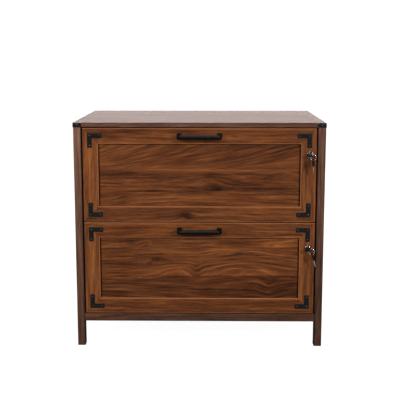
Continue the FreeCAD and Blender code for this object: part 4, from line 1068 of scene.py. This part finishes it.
def make_key_ring(drawer, z, swing):
    """A split ring: flat spring wire wound twice round, its ends lying side by side."""
    bm = bmesh.new()
    rings = []
    for number in range(RING_TURNS * RING_STEPS + 1):
        along = number / RING_STEPS
        turn = 2 * math.pi * along + RING_START
        cross = min(max((along - CROSSING_SHARE) / CROSSING_LENGTH_SHARE, 0), 1)
        shift = -TURN_SHIFT + 2 * TURN_SHIFT * (3 * cross ** 2 - 2 * cross ** 3)
        ring = []
        for a, b in circle((0, 0), 1, WIRE_SEGMENTS):
            reach = RING_RADIUS + WIRE_WIDE * a
            ring.append(bm.verts.new(Vector((reach * math.cos(turn), shift + WIRE_HIGH * b,
                                             reach * math.sin(turn) - RING_DROP)) * MM))
        rings.append(ring)
    skin(bm, rings)
    bmesh.ops.transform(bm, matrix=hang_turn(z, swing), verts=bm.verts)
    linked(to_mesh(bm, f"{drawer}_split_ring", smooth_below=60), f"{drawer}_hanging_ring",
           f"{drawer}_key_ring", "lock_chrome", "nickel")


make_boards()
make_caps()
for label, (bottom, swing) in DRAWERS.items():
    make_handle(label, bottom + HANDLE_RISE)
    make_brackets(label, bottom)
    make_lock_housing(label, bottom + LOCK_RISE)
    make_key(label, bottom + LOCK_RISE)
    make_spare_key(label, bottom + LOCK_RISE, swing)
    make_key_ring(label, bottom + LOCK_RISE, swing)


# Floor, light and camera, in metres

FLOOR_HALF = 12
FLOOR_DROP = 0.0005
# Strength of the sky's light in front and behind, and the depths between which it changes
SKY_FRONT = 0.12
SKY_BACK = 1.3
SKY_DEPTHS = (0.1, 0.9)
CEILING_POWER = 2.8
CEILING_SPREAD = 36
CEILING_TILT = 2
WHITE = (1, 1, 1)
WARM = (1.0, 0.945, 0.925)
# Each lamp: its place, what it points at, its width and height, its power and its tint
LAMPS = {
    "key": ((2.3, -2.7, 1.7), (0.1, 0, 0.5), (0.5, 0.5), 92, WHITE),
    "fill": ((-2.1, -2.7, 1.7), (-0.1, 0, 0.5), (0.5, 0.5), 68, WHITE),
    "front": ((0, -2.6, 1.75), (0, 0, 0.6), (1.8, 0.35), 30, WHITE),
    "left": ((-3.4, 0.1, 1.3), (0, 0.1, 0.4), (1.2, 1.2), 26, WHITE),
    "right": ((3.4, 0.1, 1.3), (0, 0.1, 0.4), (1.2, 1.2), 26, WHITE),
    "back": ((0, 3.6, 1.8), (0, 0, 1.2), (3.4, 1.2), 168, WARM),
}

# The photo's side, the row that the camera's axis meets, and the focal length, in pixels
PHOTO_SIDE = 400
AXIS_ROW = 152
FOCAL_LENGTH = 729.8
SENSOR = 36
# Place in millimetres, and how far the camera looks down and to the left, in degrees
CAMERA_PLACE = (28.6, -2498.4, 968.9)
CAMERA_DIP = 8.081
CAMERA_TURN = 0.665
FARTHEST = 60


def area_light(name, place, target, size, power, tint):
    data = bpy.data.lights.new(name, "AREA")
    data.shape = "RECTANGLE"
    data.size, data.size_y = size
    data.energy = power
    data.color = tint
    lamp = in_scene(name, data)
    lamp.location = place
    lamp.rotation_euler = (Vector(target) - Vector(place)).to_track_quat("-Z", "Y").to_euler()


def make_world():
    """White all round to look at; as a light it is dim in front and bright behind."""
    world = bpy.data.worlds.new("studio")
    world.use_nodes = True
    tree = world.node_tree
    backdrop = tree.nodes["Background"]
    place = tree.nodes.new("ShaderNodeTexCoord")
    split = tree.nodes.new("ShaderNodeSeparateXYZ")
    depth = tree.nodes.new("ShaderNodeMapRange")
    ray = tree.nodes.new("ShaderNodeLightPath")
    brighter = tree.nodes.new("ShaderNodeMath")
    brighter.operation = "MAXIMUM"
    tree.links.new(place.outputs["Generated"], split.inputs[0])
    tree.links.new(split.outputs[1], depth.inputs["Value"])
    depth.inputs["From Min"].default_value, depth.inputs["From Max"].default_value = SKY_DEPTHS
    depth.inputs["To Min"].default_value = SKY_FRONT
    depth.inputs["To Max"].default_value = SKY_BACK
    tree.links.new(depth.outputs[0], brighter.inputs[0])
    tree.links.new(ray.outputs["Is Camera Ray"], brighter.inputs[1])
    tree.links.new(brighter.outputs[0], backdrop.inputs["Strength"])
    backdrop.inputs["Color"].default_value = (*WHITE, 1)
    bpy.context.scene.world = world


def make_floor():
    mesh = bpy.data.meshes.new("studio_floor")
    half = FLOOR_HALF
    mesh.from_pydata([(-half, -half, 0), (half, -half, 0), (half, half, 0), (-half, half, 0)], [],
                     [(0, 1, 2, 3)])
    mesh.materials.append(floor_finish("pale_floor"))
    floor = in_scene("studio_floor", mesh)
    floor.location.z = -FLOOR_DROP


def make_lamps():
    data = bpy.data.lights.new("ceiling", "SUN")
    data.energy = CEILING_POWER
    data.angle = math.radians(CEILING_SPREAD)
    in_scene("ceiling", data).rotation_euler = (math.radians(CEILING_TILT), 0, 0)
    for name, settings in LAMPS.items():
        area_light(f"{name}_softbox", *settings)


def make_camera():
    data = bpy.data.cameras.new("camera")
    data.sensor_width = SENSOR
    data.lens = SENSOR * FOCAL_LENGTH / PHOTO_SIDE
    data.shift_y = (AXIS_ROW - PHOTO_SIDE / 2) / PHOTO_SIDE
    data.clip_end = FARTHEST
    camera = in_scene("camera", data)
    camera.location = Vector(CAMERA_PLACE) * MM
    camera.rotation_euler = (math.radians(90 - CAMERA_DIP), 0, math.radians(CAMERA_TURN))
    bpy.context.scene.camera = camera


make_floor()
make_world()
make_lamps()
make_camera()
bpy.context.scene.view_settings.view_transform = "Standard"
